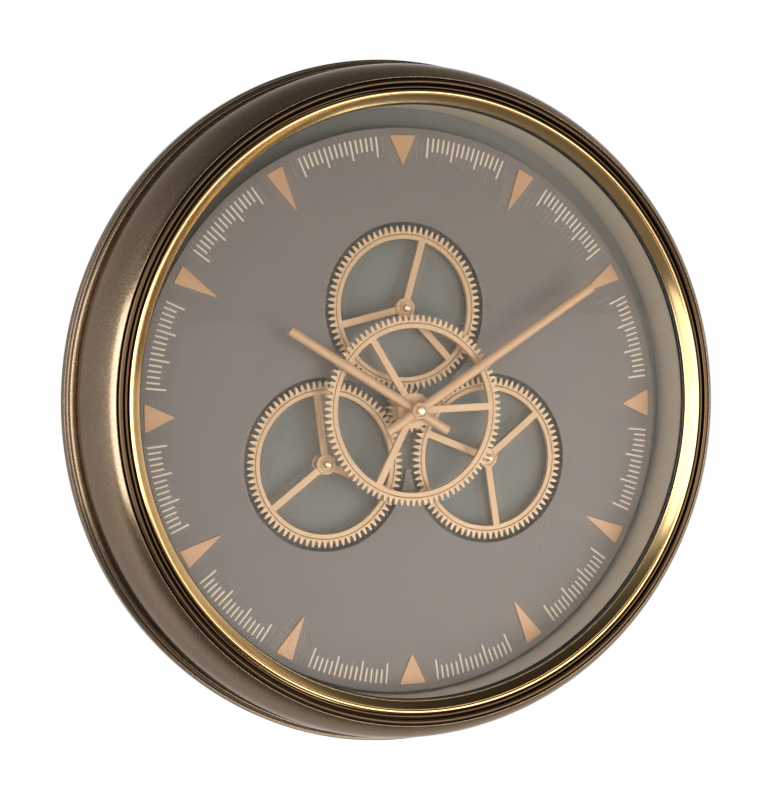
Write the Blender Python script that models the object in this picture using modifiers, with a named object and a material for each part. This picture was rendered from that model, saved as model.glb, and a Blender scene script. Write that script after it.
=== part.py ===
"""A wall clock with a deep round case and a train of open gears in front of its dial.

The origin is the point of the keyhole where the wall screw's neck bears, on the wall plane.
The wall is the plane y = 0 and the clock stands out of it towards -Y, with +Z up.
Every piece hangs under an empty whose local Z is the distance from the wall, so a place is
written as (right, up, distance from the wall), as someone in front of the clock sees it.
"""

import math

import bmesh
import bpy
from mathutils import Matrix, Vector

# Fits
GAP = 0.0003                 # left between two pieces that touch
RUNNING_GAP = 0.0005         # left between a hand and the piece behind it

# Rear ring, a painted board ring that lies on the wall
RING_R = 0.2320
RING_WIDTH = 0.0320
RING_THICKNESS = 0.0130
RING_EDGE_HEIGHT = 0.0075    # height of the plain outer edge, under the cove
COVE_RISE = 0.0011           # how far the cove climbs from there to the bead
RING_BEAD_R = 0.0019         # section radius of the bead that stands round the ring
RING_BEAD_INSET = 0.0045     # from the ring's edge to the middle of the bead
BEAD_FOOT_DEG = -35.0        # where the bead's round section leaves the cove
SEAT_WIDTH = 0.0100          # the raised seat that carries the rear disc
SEAT_RISE = 0.0047

# Keyhole hanger, at the top of the rear ring
HANGER_WIDTH = 0.0400
HANGER_TALL = 0.0240
HANGER_THICKNESS = 0.0012
HANGER_CORNER_R = 0.0024
HANGER_TOP_MARGIN = 0.0035   # from the ring's edge to the top of the plate
KEYHOLE_NECK_WIDTH = 0.0052
KEYHOLE_ENTRY_R = 0.0050
KEYHOLE_LENGTH = 0.0090      # from the middle of the entry to the end where the screw bears
KEYHOLE_TOP_MARGIN = 0.0060  # from the plate's top to the end where the screw bears
HEAD_POCKET_WIDTH = 0.0150
HEAD_POCKET_ABOVE = 0.0025   # room over the end where the screw bears
HEAD_POCKET_DEPTH = 0.0075

# Case shell, a spun bullnose with two beads round its mouth
SHELL_WALL = 0.0016
BODY_EDGE_INSET = 0.0179     # from the ring's edge in to the body's front edge
BULGE = 0.0220               # radial half axis of the body's elliptic section
BULGE_FIRST_DEG = -18.8      # the arc of the ellipse that the body uses, from the back
BULGE_LAST_DEG = 64.8
SHELL_FOOT_WIDTH = 0.0100    # the flange turned in at the back
LIP_DEPTH = 0.0043           # from the mouth's underside to the body's front edge
MOUTH_WIDTH = 0.0082         # from the body's front edge in to the bezel
OUTER_BEAD_R = 0.0016
OUTER_BEAD_INSET = 0.0026    # from the body's front edge to the middle of the bead
INNER_BEAD_R = 0.0010
GROOVE_DEPTH = 0.0020
BODY_EDGE_LAND = 0.0003      # left of the body's edge beside the groove

# Bezel, the gold ring in the mouth of the case
BEZEL_WIDTH = 0.0085
BEZEL_LAND_WIDTH = 0.0028    # the rounded land outside the ridge
BEZEL_LAND = 0.0012          # height of the plain inner edge
BEZEL_HEIGHT = 0.0074
BEZEL_RIDGE_DROP = 0.0010    # the ridge stands this much lower than the land
BEZEL_EDGE_DROP = 0.0007     # and the land's outer edge this much
BEZEL_FLANGE_WIDTH = 0.0030  # the part under the lip of the case
BEZEL_FLANGE_THICKNESS = 0.0016

# Glass, and the wall ring that it lies on
GLASS_THICKNESS = 0.0025
GLASS_OVERLAP = 0.0050       # how far the glass reaches past the wall ring's bore
WALL_RING_SETBACK = 0.0006   # the wall ring's bore outside the bezel's inner edge
WALL_RING_WALL = 0.0016
WALL_RING_HEIGHT = 0.0354

# Rear disc and dial
DISC_THICKNESS = 0.0020
DISC_OVERLAP = 0.0090        # how far the disc reaches over the ring's raised seat
DIAL_DROP = 0.0060           # the dial sits this much lower than the case
DIAL_EDGE_GAP = 0.0020       # left at the dial's lowest point inside the wall ring
DIAL_THICKNESS = 0.0015
STANDOFF_R = 0.0030
STANDOFF_LENGTH = 0.0069
STANDOFF_INSET = 0.0100      # from the dial's edge to a standoff's axis
STANDOFFS = 6
CUTOUT_LOBE_CLEARANCE = 0.0028
CUTOUT_TIP_R = 0.0400        # where the dial's three points end

# Hour markers
MARKER_INSET = 0.0050        # from the dial's edge to the markers
MARKER_THICKNESS = 0.0006
QUARTER_MARKER_LENGTH = 0.0207
QUARTER_MARKER_WIDTH = 0.0194
HOUR_MARKER_LENGTH = 0.0314
HOUR_MARKER_WIDTH = 0.0130
MARKER_CORNER_R = 0.0007

# Gear train
GEAR_CIRCLE_R = 0.0688       # the circle that the three outer gears' centres lie on
OUTER_TEETH = 78
PINION_TEETH = 20
CENTRE_TEETH = 91
TOOTH_HEIGHT = 0.0037
TOOTH_TIP = 0.0009
OUTER_ADDENDUM = 0.0004      # tip beyond the pitch circle
PINION_ADDENDUM = 0.0013
CENTRE_GEAR_TIP_R = 0.0635
GEAR_THICKNESS = 0.0030
RIM_WIDTH = 0.0050           # from the roots of the teeth to the openings
CENTRE_RIM_WIDTH = 0.0055
SPOKE_WIDTH = 0.0048
OUTER_GEAR_SETBACK = 0.0006  # front face of the outer gears behind the dial's
PINION_THICKNESS = 0.0060
PINION_ROOT_LAND = 0.0010
SLEEVE_R = 0.0068
SLEEVE_LENGTH = 0.0062
SPIGOT_R = 0.0055
OUTER_GEAR_NAMES = ("upper", "right", "left")
UPPER_SPOKE_DEG = 17.1       # clockwise from twelve, one spoke of each gear
RIGHT_SPOKE_DEG = 52.3
LEFT_SPOKE_DEG = 113.6
CENTRE_SPOKE_DEG = 88.7
PINION_PHASE_DEG = 9.0       # a tooth gap of the pinion faces the upper gear
CENTRE_PHASE_DEG = 3.44

# Hubs, posts and the arbor of the driven gear
HUB_R = 0.0067
HUB_RING_WIDTH = 0.0016
HUB_RISE = 0.0012
HUB_FLOOR_RISE = 0.0004
HUB_BACK = 0.0004
CENTRE_HUB_R = 0.0118
CENTRE_HUB_RING_R = 0.0088
CENTRE_HUB_RISE = 0.0006
CENTRE_HUB_RING_RISE = 0.0014
POST_R = 0.0021
POST_SHOULDER_R = 0.0045
POST_FOOT_R = 0.0070
POST_FOOT_HEIGHT = 0.0020
POST_REACH = 0.0065          # the domed tip stands this much in front of the gear
CLIP_R = 0.0039
CLIP_THICKNESS = 0.0007
ARBOR_INSERT = 0.0050        # how deep the driven arbor goes into its drive

# Bush, tubes and nuts at the centre
BUSH_R = 0.0040
BUSH_BORE_R = 0.0029
HOUR_TUBE_R = 0.0026
MINUTE_SHAFT_R = 0.0010
BUSH_NUT_R = 0.0075
BUSH_NUT_THICKNESS = 0.0030
WASHER_R = 0.0070
RETAINER_R = 0.0064
RETAINER_THICKNESS = 0.0015
SHAFT_INSERT = 0.0040        # how deep the hour tube and minute shaft go into the movement

# Hands
HAND_WIDTH = 0.0064
HAND_THICKNESS = 0.0027
HAND_EDGE = 0.0008           # the upright edge under the round
HOUR_LENGTH = 0.1050
HOUR_TAIL = 0.0270
MINUTE_LENGTH = 0.1565
MINUTE_TAIL = 0.0255
HOUR_HAND_DEG = 301.6
MINUTE_HAND_DEG = 58.5
HAND_BOSS_R = 0.0048
HAND_BOSS_EDGE = 0.0005
HAND_NUT_R = 0.0037
HAND_NUT_THICKNESS = 0.0014
HAND_NUT_BORE_DEPTH = 0.0007
NUT_DOME_R = 0.0022
NUT_DOME_RISE = 0.0018

# Movement for the hands, and the drive for the gears
CASE_DEPTH = 0.0160
MOVEMENT_SIDE = 0.0560
DRIVE_WIDTH = 0.0620
DRIVE_TALL = 0.0560
HOUSING_CORNER_R = 0.0030
CELL_R = 0.0071
CELL_LENGTH = 0.0495
CELL_TIP_R = 0.0026
CELL_TIP_LENGTH = 0.0012
CELL_CLEARANCE = 0.0006
MOVEMENT_CELL_UP = -0.0175
DRIVE_CELL_UP = 0.0170
KNOB_R = 0.0060
KNOB_THICKNESS = 0.0024
KNOB_FINGER_ROOM = 0.0012    # round the knob, in its recess
KNOB_RIGHT = 0.0140
KNOB_UP = 0.0120
KNOB_POST_R = 0.0015
SWITCH_WIDTH = 0.0060
SWITCH_TALL = 0.0030
SWITCH_HEIGHT = 0.0024
SWITCH_TRAVEL = 0.0040
SWITCH_SLOT_DEPTH = 0.0018
SWITCH_RIGHT = 0.0150

# How finely round things are cut
RING_STEPS = 48
DIAL_STEPS = 48
LOBE_PIECES = 18
BEAD_PIECES = 3
BODY_PIECES = 6
INNER_BODY_PIECES = 2
HUB_STEPS = 16
SMALL_STEPS = 12
DOME_ANGLES = (0.0, 30.0, 60.0)
SMOOTH_BELOW = math.radians(40)

# Distances from the wall, stacked from the back
SHELL_REAR = RING_THICKNESS + GAP
SEAT_FRONT = RING_THICKNESS + SEAT_RISE
DISC_REAR = SEAT_FRONT + GAP
DISC_FRONT = DISC_REAR + DISC_THICKNESS
STANDOFF_REAR = DISC_FRONT + GAP
DIAL_REAR = STANDOFF_REAR + STANDOFF_LENGTH + GAP
DIAL_FRONT = DIAL_REAR + DIAL_THICKNESS
MARKER_REAR = DIAL_FRONT + GAP
OUTER_GEAR_FRONT = DIAL_FRONT - OUTER_GEAR_SETBACK
OUTER_GEAR_REAR = OUTER_GEAR_FRONT - GEAR_THICKNESS
OUTER_HUB_REAR = OUTER_GEAR_REAR - HUB_BACK
HUB_FLOOR = OUTER_GEAR_FRONT + HUB_FLOOR_RISE
SHOULDER_TOP = OUTER_HUB_REAR - GAP
PINION_REAR = OUTER_GEAR_REAR
PINION_FRONT = PINION_REAR + PINION_THICKNESS
SLEEVE_TOP = PINION_FRONT + SLEEVE_LENGTH
CENTRE_GEAR_REAR = SLEEVE_TOP + GAP
CENTRE_GEAR_FRONT = CENTRE_GEAR_REAR + GEAR_THICKNESS
CENTRE_HUB_FRONT = CENTRE_GEAR_FRONT + CENTRE_HUB_RISE
RETAINER_REAR = CENTRE_HUB_FRONT + GAP
BUSH_TOP = RETAINER_REAR + RETAINER_THICKNESS
HOUR_HAND_REAR = BUSH_TOP + RUNNING_GAP
MINUTE_HAND_REAR = HOUR_HAND_REAR + HAND_THICKNESS + RUNNING_GAP
HAND_NUT_REAR = MINUTE_HAND_REAR + HAND_THICKNESS + GAP
WALL_RING_FRONT = DISC_FRONT + GAP + WALL_RING_HEIGHT
GLASS_REAR = WALL_RING_FRONT + GAP
GLASS_FRONT = GLASS_REAR + GLASS_THICKNESS
BEZEL_REAR = GLASS_FRONT + GAP
BEZEL_FLANGE_FRONT = BEZEL_REAR + BEZEL_FLANGE_THICKNESS
LIP_REAR = BEZEL_FLANGE_FRONT + GAP
BODY_EDGE_FRONT = LIP_REAR + LIP_DEPTH
HOUSING_FRONT = DISC_REAR - GAP
HOUSING_REAR = HOUSING_FRONT - CASE_DEPTH

# Radii and heights that follow from the ones above
HANGER_HEIGHT = RING_R - HANGER_TOP_MARGIN - KEYHOLE_TOP_MARGIN
RING_INNER_R = RING_R - RING_WIDTH
SEAT_R = RING_INNER_R + SEAT_WIDTH
DISC_R = RING_INNER_R + DISC_OVERLAP
BODY_EDGE_R = RING_R - BODY_EDGE_INSET
BEZEL_OUTER_R = BODY_EDGE_R - MOUTH_WIDTH
BEZEL_RIDGE_R = BEZEL_OUTER_R - BEZEL_LAND_WIDTH
BEZEL_INNER_R = BEZEL_OUTER_R - BEZEL_WIDTH
WALL_RING_R = BEZEL_INNER_R + WALL_RING_SETBACK
GLASS_R = WALL_RING_R + GLASS_OVERLAP
DIAL_R = WALL_RING_R - DIAL_DROP - DIAL_EDGE_GAP
MARKER_OUTER_R = DIAL_R - MARKER_INSET
MODULE = 2 * GEAR_CIRCLE_R / (OUTER_TEETH + PINION_TEETH)
OUTER_GEAR_TIP_R = MODULE * OUTER_TEETH / 2 + OUTER_ADDENDUM
PINION_TIP_R = MODULE * PINION_TEETH / 2 + PINION_ADDENDUM
CUTOUT_LOBE_R = OUTER_GEAR_TIP_R + CUTOUT_LOBE_CLEARANCE

GOLD = ("gear_gold", (0.74, 0.50, 0.29), 0.32, 1.0)
HAND_GOLD = ("hand_gold", (0.70, 0.45, 0.24), 0.36, 1.0)
BEZEL_GOLD = ("bezel_gold", (0.72, 0.47, 0.16), 0.22, 1.0)
BRONZE = ("case_bronze", (0.12, 0.090, 0.065), 0.34, 0.8)
DIAL_GREY = ("dial_grey", (0.23, 0.21, 0.185), 0.62, 0.0)
DISC_GREY = ("disc_grey", (0.14, 0.13, 0.11), 0.65, 0.0)
WALL_GREY = ("wall_grey", (0.27, 0.25, 0.21), 0.55, 0.0)
MARKER_TAN = ("marker_tan", (0.58, 0.36, 0.20), 0.42, 0.0)
BRASS = ("brass", (0.68, 0.50, 0.24), 0.3, 1.0)
STEEL = ("steel", (0.55, 0.55, 0.55), 0.35, 1.0)
BLACK_BOARD = ("black_board", (0.03, 0.028, 0.026), 0.7, 0.0)
BLACK_PLASTIC = ("black_plastic", (0.02, 0.02, 0.022), 0.5, 0.0)
WHITE_PLASTIC = ("white_plastic", (0.75, 0.75, 0.72), 0.5, 0.0)
CELL_GREEN = ("cell_jacket", (0.05, 0.22, 0.12), 0.4, 0.0)
CLEAR_GLASS = ("clear_glass", (0.92, 0.95, 0.94), 0.03, 0.0)


def clear_scene():
    """Remove the objects that a new scene starts with."""
    for obj in list(bpy.data.objects):
        bpy.data.objects.remove(obj, do_unlink=True)


def new_collection(name):
    collection = bpy.data.collections.new(name)
    bpy.context.scene.collection.children.link(collection)
    return collection


def new_empty(name, parent, location, turn_x=0.0):
    empty = bpy.data.objects.new(name, None)
    empty.empty_display_size = 0.02
    empty.parent = parent
    empty.location = location
    empty.rotation_euler = (turn_x, 0.0, 0.0)
    PARTS.objects.link(empty)
    return empty


def material(finish):
    """One Principled material for each named finish."""
    name, colour, roughness, metallic = finish
    found = bpy.data.materials.get(name)
    if found:
        return found
    made = bpy.data.materials.new(name)
    made.use_nodes = True
    shader = made.node_tree.nodes["Principled BSDF"]
    shader.inputs["Base Color"].default_value = (*colour, 1.0)
    shader.inputs["Roughness"].default_value = roughness
    shader.inputs["Metallic"].default_value = metallic
    if finish is CLEAR_GLASS:
        shader.inputs["Transmission Weight"].default_value = 1.0
    made.diffuse_color = (*colour, 1.0)
    return made


def clock_point(radius, degrees):
    """The point at this radius, with the angle clockwise from twelve as seen from the front."""
    angle = math.radians(degrees)
    return radius * math.sin(angle), radius * math.cos(angle)


def circle(radius, steps, centre=(0.0, 0.0)):
    turns = [2 * math.pi * step / steps for step in range(steps)]
    return [(centre[0] + radius * math.cos(t), centre[1] + radius * math.sin(t)) for t in turns]


def arc(centre, radius, first_deg, last_deg, pieces):
    """Points along an arc, with the angle counted from +X towards +Y."""
    angles = [first_deg + (last_deg - first_deg) * i / pieces for i in range(pieces + 1)]
    return [
        (
            centre[0] + radius * math.cos(math.radians(a)),
            centre[1] + radius * math.sin(math.radians(a)),
        )
        for a in angles
    ]


def rounded_rectangle(width, tall, radius, pieces=3, centre=(0.0, 0.0)):
    points = []
    corners = ((1, 1, 0), (-1, 1, 90), (-1, -1, 180), (1, -1, 270))
    for side, level, first in corners:
        middle = (
            centre[0] + side * (width / 2 - radius),
            centre[1] + level * (tall / 2 - radius),
        )
        points += arc(middle, radius, first, first + 90, pieces)
    return points


def signed_area(points):
    return sum(a[0] * b[1] - b[0] * a[1] for a, b in zip(points, points[1:] + points[:1])) / 2


def place(obj, parent, location, turn):
    """Hang a piece under an empty, moved and then turned clockwise as seen from the front."""
    obj.parent = parent
    obj.location = location
    obj.rotation_euler = (0.0, 0.0, -math.radians(turn))


def finished(obj, finish):
    obj.data.materials.append(material(finish))
    PARTS.objects.link(obj)
    return obj


def turned(name, profile, finish, parent, location=(0.0, 0.0, 0.0), steps=RING_STEPS, turn=0.0):
    """A profile of (radius, distance) points turned about local Z.

    A profile that starts and ends on the axis is left open there, and any other is closed.
    """
    ends_on_axis = profile[0][0] == 0.0 and profile[-1][0] == 0.0
    if signed_area(profile) > 0:
        profile = profile[::-1]
    mesh = bpy.data.meshes.new(name)
    count = len(profile)
    edges = [(i, (i + 1) % count) for i in range(count - 1 if ends_on_axis else count)]
    mesh.from_pydata([(radius, 0.0, distance) for radius, distance in profile], edges, [])
    obj = bpy.data.objects.new(name, mesh)
    screw = obj.modifiers.new("Turn", "SCREW")
    screw.axis = "Z"
    screw.angle = 2 * math.pi
    screw.steps = steps
    screw.render_steps = steps
    screw.use_merge_vertices = True
    screw.merge_threshold = 0.00001
    screw.use_smooth_shade = True
    place(obj, parent, location, turn)
    return finished(obj, finish)


def plate(name, outlines, rear, thickness, finish, parent, location=(0.0, 0.0), turn=0.0):
    """A flat piece: the first outline is its edge and the others are its openings."""
    curve = bpy.data.curves.new(name, "CURVE")
    curve.dimensions = "2D"
    curve.fill_mode = "BOTH"
    curve.extrude = thickness / 2
    for outline in outlines:
        spline = curve.splines.new("POLY")
        spline.points.add(len(outline) - 1)
        spline.points.foreach_set("co", [value for x, y in outline for value in (x, y, 0.0, 1.0)])
        spline.use_cyclic_u = True
    drawn = bpy.data.objects.new(name + "_outline", curve)
    place(drawn, parent, (*location, rear + thickness / 2), turn)
    PARTS.objects.link(drawn)
    bpy.context.view_layer.update()
    graph = bpy.context.evaluated_depsgraph_get()
    mesh = bpy.data.meshes.new_from_object(drawn.evaluated_get(graph))
    mesh.name = name
    mesh.materials.clear()
    shape = bmesh.new()
    shape.from_mesh(mesh)
    bmesh.ops.remove_doubles(shape, verts=shape.verts, dist=0.000001)
    bmesh.ops.recalc_face_normals(shape, faces=shape.faces)
    shape.to_mesh(mesh)
    shape.free()
    bpy.data.objects.remove(drawn, do_unlink=True)
    obj = bpy.data.objects.new(name, mesh)
    place(obj, parent, (*location, rear + thickness / 2), turn)
    return finished(obj, finish)


def box(name, size, finish, parent, location):
    """A plain block round its middle."""
    mesh = bpy.data.meshes.new(name)
    shape = bmesh.new()
    bmesh.ops.create_cube(shape, size=1.0, matrix=Matrix.Diagonal((*size, 1.0)))
    shape.to_mesh(mesh)
    shape.free()
    obj = bpy.data.objects.new(name, mesh)
    place(obj, parent, location, 0.0)
    return finished(obj, finish)


def as_cutter(obj):
    """Turn a piece into a cutter, which is neither drawn nor part of the clock."""
    obj.hide_render = True
    obj.display_type = "WIRE"
    obj.data.materials.clear()
    PARTS.objects.unlink(obj)
    CUTTERS.objects.link(obj)
    return obj


def combine(obj, other, operation):
    """Cut away or join another piece, which then stays as a helper."""
    as_cutter(other)
    boolean = obj.modifiers.new(other.name, "BOOLEAN")
    boolean.operation = operation
    boolean.solver = "EXACT"
    boolean.object = other
    return obj


def cut(obj, other):
    return combine(obj, other, "DIFFERENCE")


def join(obj, other):
    return combine(obj, other, "UNION")


def body_arc(offset, pieces):
    """The elliptic section of the case, from front to back, moved inwards by offset."""
    first, last = math.radians(BULGE_FIRST_DEG), math.radians(BULGE_LAST_DEG)
    half_depth = (BODY_EDGE_FRONT - SHELL_REAR) / (math.sin(last) - math.sin(first))
    middle = SHELL_REAR - half_depth * math.sin(first)
    points = []
    for i in range(pieces + 1):
        t = last + (first - last) * i / pieces
        normal = Vector((math.cos(t) / BULGE, math.sin(t) / half_depth)).normalized()
        radius = BODY_EDGE_R + BULGE * (math.cos(t) - math.cos(last)) - offset * normal.x
        points.append((radius, middle + half_depth * math.sin(t) - offset * normal.y))
    return points


def make_rear_ring():
    """The board ring on the wall, with its cove, bead and raised seat, and the hanger's pocket."""
    bead_r = RING_R - RING_BEAD_INSET
    bead_up = RING_THICKNESS - RING_BEAD_R
    bead = arc((bead_r, bead_up), RING_BEAD_R, BEAD_FOOT_DEG, 90, BEAD_PIECES)
    profile = [
        (RING_INNER_R, 0.0),
        (RING_R, 0.0),
        (RING_R, RING_EDGE_HEIGHT),
        (bead_r + RING_BEAD_R, RING_EDGE_HEIGHT + COVE_RISE),
        *bead,
        (SEAT_R, RING_THICKNESS),
        (SEAT_R, SEAT_FRONT),
        (RING_INNER_R, SEAT_FRONT),
    ]
    ring = turned("rear_ring", profile, BLACK_BOARD, CASE_AXIS)
    plate_middle = RING_R - HANGER_TOP_MARGIN - HANGER_TALL / 2
    recess_depth = HANGER_THICKNESS + GAP
    recess = box(
        "hanger_recess_cutter",
        (HANGER_WIDTH + 2 * GAP, HANGER_TALL + 2 * GAP, 2 * recess_depth),
        BLACK_BOARD,
        CASE_AXIS,
        (0.0, plate_middle, 0.0),
    )
    cut(ring, recess)
    entry_up = HANGER_HEIGHT - KEYHOLE_LENGTH
    pocket_top = HANGER_HEIGHT + HEAD_POCKET_ABOVE
    pocket_foot = entry_up - KEYHOLE_ENTRY_R
    pocket = box(
        "head_pocket_cutter",
        (HEAD_POCKET_WIDTH, pocket_top - pocket_foot, 2 * (recess_depth + HEAD_POCKET_DEPTH)),
        BLACK_BOARD,
        CASE_AXIS,
        (0.0, (pocket_top + pocket_foot) / 2, 0.0),
    )
    cut(ring, pocket)


def make_hanger_plate():
    """The steel keyhole plate, let in flush with the back of the ring."""
    plate_middle = RING_R - HANGER_TOP_MARGIN - HANGER_TALL / 2
    neck_r = KEYHOLE_NECK_WIDTH / 2
    neck_up = HANGER_HEIGHT - neck_r - plate_middle
    entry_up = HANGER_HEIGHT - KEYHOLE_LENGTH - plate_middle
    meet = math.degrees(math.acos(neck_r / KEYHOLE_ENTRY_R))
    keyhole = arc((0.0, neck_up), neck_r, 0, 180, 6)
    keyhole += arc((0.0, entry_up), KEYHOLE_ENTRY_R, 180 - meet, 360 + meet, 12)
    outline = rounded_rectangle(HANGER_WIDTH, HANGER_TALL, HANGER_CORNER_R)
    plate(
        "hanger_plate", [outline, keyhole], 0.0, HANGER_THICKNESS, STEEL, CASE_AXIS,
        (0.0, plate_middle),
    )


def make_case_shell():
    """The spun shell: beads and grooves round the mouth, the bullnose body and the rear foot."""
    lip_r = BEZEL_OUTER_R + GAP
    groove = BODY_EDGE_FRONT - GROOVE_DEPTH
    inner_bead = (lip_r + INNER_BEAD_R, BODY_EDGE_FRONT - INNER_BEAD_R)
    outer_bead = (BODY_EDGE_R - OUTER_BEAD_INSET, BODY_EDGE_FRONT)
    outside = [
        (lip_r, groove),
        *arc(inner_bead, INNER_BEAD_R, 180, 0, BEAD_PIECES),
        (inner_bead[0] + INNER_BEAD_R, groove),
        (outer_bead[0] - OUTER_BEAD_R, groove),
        *arc(outer_bead, OUTER_BEAD_R, 180, 0, BEAD_PIECES),
        (outer_bead[0] + OUTER_BEAD_R, groove),
        (BODY_EDGE_R - BODY_EDGE_LAND, groove),
        *body_arc(0.0, BODY_PIECES),
    ]
    foot_front = SHELL_REAR + SHELL_WALL
    inner_arc = body_arc(SHELL_WALL, INNER_BODY_PIECES)
    inner = [point for point in inner_arc if foot_front < point[1] < LIP_REAR]
    foot_r = inner_arc[-1][0]
    inside = [
        (foot_r - SHELL_FOOT_WIDTH, SHELL_REAR),
        (foot_r - SHELL_FOOT_WIDTH, foot_front),
        (foot_r, foot_front),
        *inner[::-1],
        (BODY_EDGE_R - SHELL_WALL, LIP_REAR),
        (lip_r, LIP_REAR),
    ]
    turned("case_shell", outside + inside, BRONZE, CASE_AXIS)


def make_bezel_ring():
    """The gold ring: a hollow inner bevel, a ridge, a rounded outer land and the flange below."""
    top = BEZEL_REAR + BEZEL_HEIGHT
    land = BEZEL_REAR + BEZEL_LAND
    flange_r = BEZEL_OUTER_R + BEZEL_FLANGE_WIDTH
    rise = top - BEZEL_RIDGE_DROP - land
    run = BEZEL_RIDGE_R - BEZEL_INNER_R
    bevel = [
        (BEZEL_INNER_R + run * t, land + rise * math.sin(math.pi / 2 * t))
        for t in (0.0, 0.4, 1.0)
    ]
    profile = [
        (BEZEL_INNER_R, BEZEL_REAR),
        (flange_r, BEZEL_REAR),
        (flange_r, BEZEL_FLANGE_FRONT),
        (BEZEL_OUTER_R, BEZEL_FLANGE_FRONT),
        (BEZEL_OUTER_R, top - BEZEL_EDGE_DROP),
        ((BEZEL_OUTER_R + BEZEL_RIDGE_R) / 2, top),
        *bevel[::-1],
    ]
    turned("bezel_ring", profile, BEZEL_GOLD, CASE_AXIS)


def make_glass_and_wall():
    """The glass, and the ring that walls the space over the dial and carries the glass."""
    disc = [(0.0, GLASS_REAR), (GLASS_R, GLASS_REAR), (GLASS_R, GLASS_FRONT), (0.0, GLASS_FRONT)]
    turned("glass", disc, CLEAR_GLASS, CASE_AXIS)
    rear = DISC_FRONT + GAP
    outer_r = WALL_RING_R + WALL_RING_WALL
    profile = [
        (WALL_RING_R, rear),
        (outer_r, rear),
        (outer_r, WALL_RING_FRONT),
        (WALL_RING_R, WALL_RING_FRONT),
    ]
    turned("wall_ring", profile, WALL_GREY, CASE_AXIS)


def make_rear_disc():
    """The disc behind the dial, with holes for the bush and for the driven arbor."""
    bush_hole = circle(BUSH_R + GAP, HUB_STEPS, (0.0, -DIAL_DROP))
    arbor_hole = circle(POST_R + GAP, HUB_STEPS, (0.0, GEAR_CIRCLE_R - DIAL_DROP))
    edge = circle(DISC_R, RING_STEPS)
    plate("rear_disc", [edge, bush_hole, arbor_hole], DISC_REAR, DISC_THICKNESS, DISC_GREY, CASE_AXIS)


def trefoil(tip_pieces=2):
    """The edge of three round lobes joined by a middle circle, as one closed outline."""
    reach = GEAR_CIRCLE_R**2 + CUTOUT_TIP_R**2 - CUTOUT_LOBE_R**2
    half = math.degrees(math.acos(reach / (2 * GEAR_CIRCLE_R * CUTOUT_TIP_R)))
    corner = Vector(clock_point(CUTOUT_TIP_R, half)) - Vector((0.0, GEAR_CIRCLE_R))
    first = math.degrees(math.atan2(corner.y, corner.x))
    points = []
    for k in range(3):
        turn = Matrix.Rotation(math.radians(120 * k), 2)
        lobe = arc((0.0, GEAR_CIRCLE_R), CUTOUT_LOBE_R, first, 180 - first, LOBE_PIECES)
        tip_step = (120 - 2 * half) / tip_pieces
        tip = [clock_point(CUTOUT_TIP_R, -half - tip_step * i) for i in range(1, tip_pieces)]
        points += [tuple(turn @ Vector(point)) for point in lobe + tip]
    return points


def make_dial():
    """The dial plate with its cut-out, on six standoffs."""
    outlines = [circle(DIAL_R, DIAL_STEPS), trefoil()]
    plate("dial_plate", outlines, DIAL_REAR, DIAL_THICKNESS, DIAL_GREY, DIAL_AXIS)
    profile = [
        (0.0, STANDOFF_REAR),
        (STANDOFF_R, STANDOFF_REAR),
        (STANDOFF_R, STANDOFF_REAR + STANDOFF_LENGTH),
        (0.0, STANDOFF_REAR + STANDOFF_LENGTH),
    ]
    for k in range(STANDOFFS):
        spot = clock_point(DIAL_R - STANDOFF_INSET, (k + 0.5) * 360 / STANDOFFS)
        turned(f"dial_standoff_{k + 1}", profile, BRASS, DIAL_AXIS, (*spot, 0.0), SMALL_STEPS)


def rounded_corner(before, corner, after, radius, pieces=1):
    """Points of a fillet of this radius between two straight edges."""
    one = (Vector(before) - Vector(corner)).normalized()
    two = (Vector(after) - Vector(corner)).normalized()
    half = one.angle(two) / 2
    middle = Vector(corner) + (one + two).normalized() * (radius / math.sin(half))
    start = Vector(corner) + one * (radius / math.tan(half)) - middle
    end = Vector(corner) + two * (radius / math.tan(half)) - middle
    points = []
    for i in range(pieces + 1):
        toward = start.lerp(end, i / pieces).normalized() * radius
        points.append(tuple(middle + toward))
    return points


def make_hour_markers():
    """Twelve flat pointers that aim at the centre, larger at the quarters."""
    for hour in range(1, 13):
        quarter = hour % 3 == 0
        tip_r = MARKER_OUTER_R - (QUARTER_MARKER_LENGTH if quarter else HOUR_MARKER_LENGTH)
        half_base = (QUARTER_MARKER_WIDTH if quarter else HOUR_MARKER_WIDTH) / 2
        corners = [(-half_base, MARKER_OUTER_R), (0.0, tip_r), (half_base, MARKER_OUTER_R)]
        outline = []
        for i in range(3):
            outline += rounded_corner(corners[i - 1], corners[i], corners[(i + 1) % 3], MARKER_CORNER_R)
        plate(
            f"hour_marker_{hour:02d}", [outline], MARKER_REAR, MARKER_THICKNESS, MARKER_TAN,
            DIAL_AXIS, turn=30 * hour,
        )


def gear_outline(teeth, tip_r, phase, root_land=0.0):
    """Tall straight-sided teeth with narrow flat tips.

    The phase is the first tooth's angle in degrees. The gaps run down to a line, or to a flat of
    the width root_land.
    """
    root_r = tip_r - TOOTH_HEIGHT
    half_tip = math.degrees(TOOTH_TIP / 2 / tip_r)
    half_land = math.degrees(root_land / 2 / root_r)
    points = []
    for k in range(teeth):
        middle = phase + 360 * k / teeth
        gap = middle + 180 / teeth
        points += [clock_point(tip_r, middle - half_tip), clock_point(tip_r, middle + half_tip)]
        if root_land:
            points += [clock_point(root_r, gap - half_land), clock_point(root_r, gap + half_land)]
        else:
            points.append(clock_point(root_r, gap))
    return points


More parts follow.
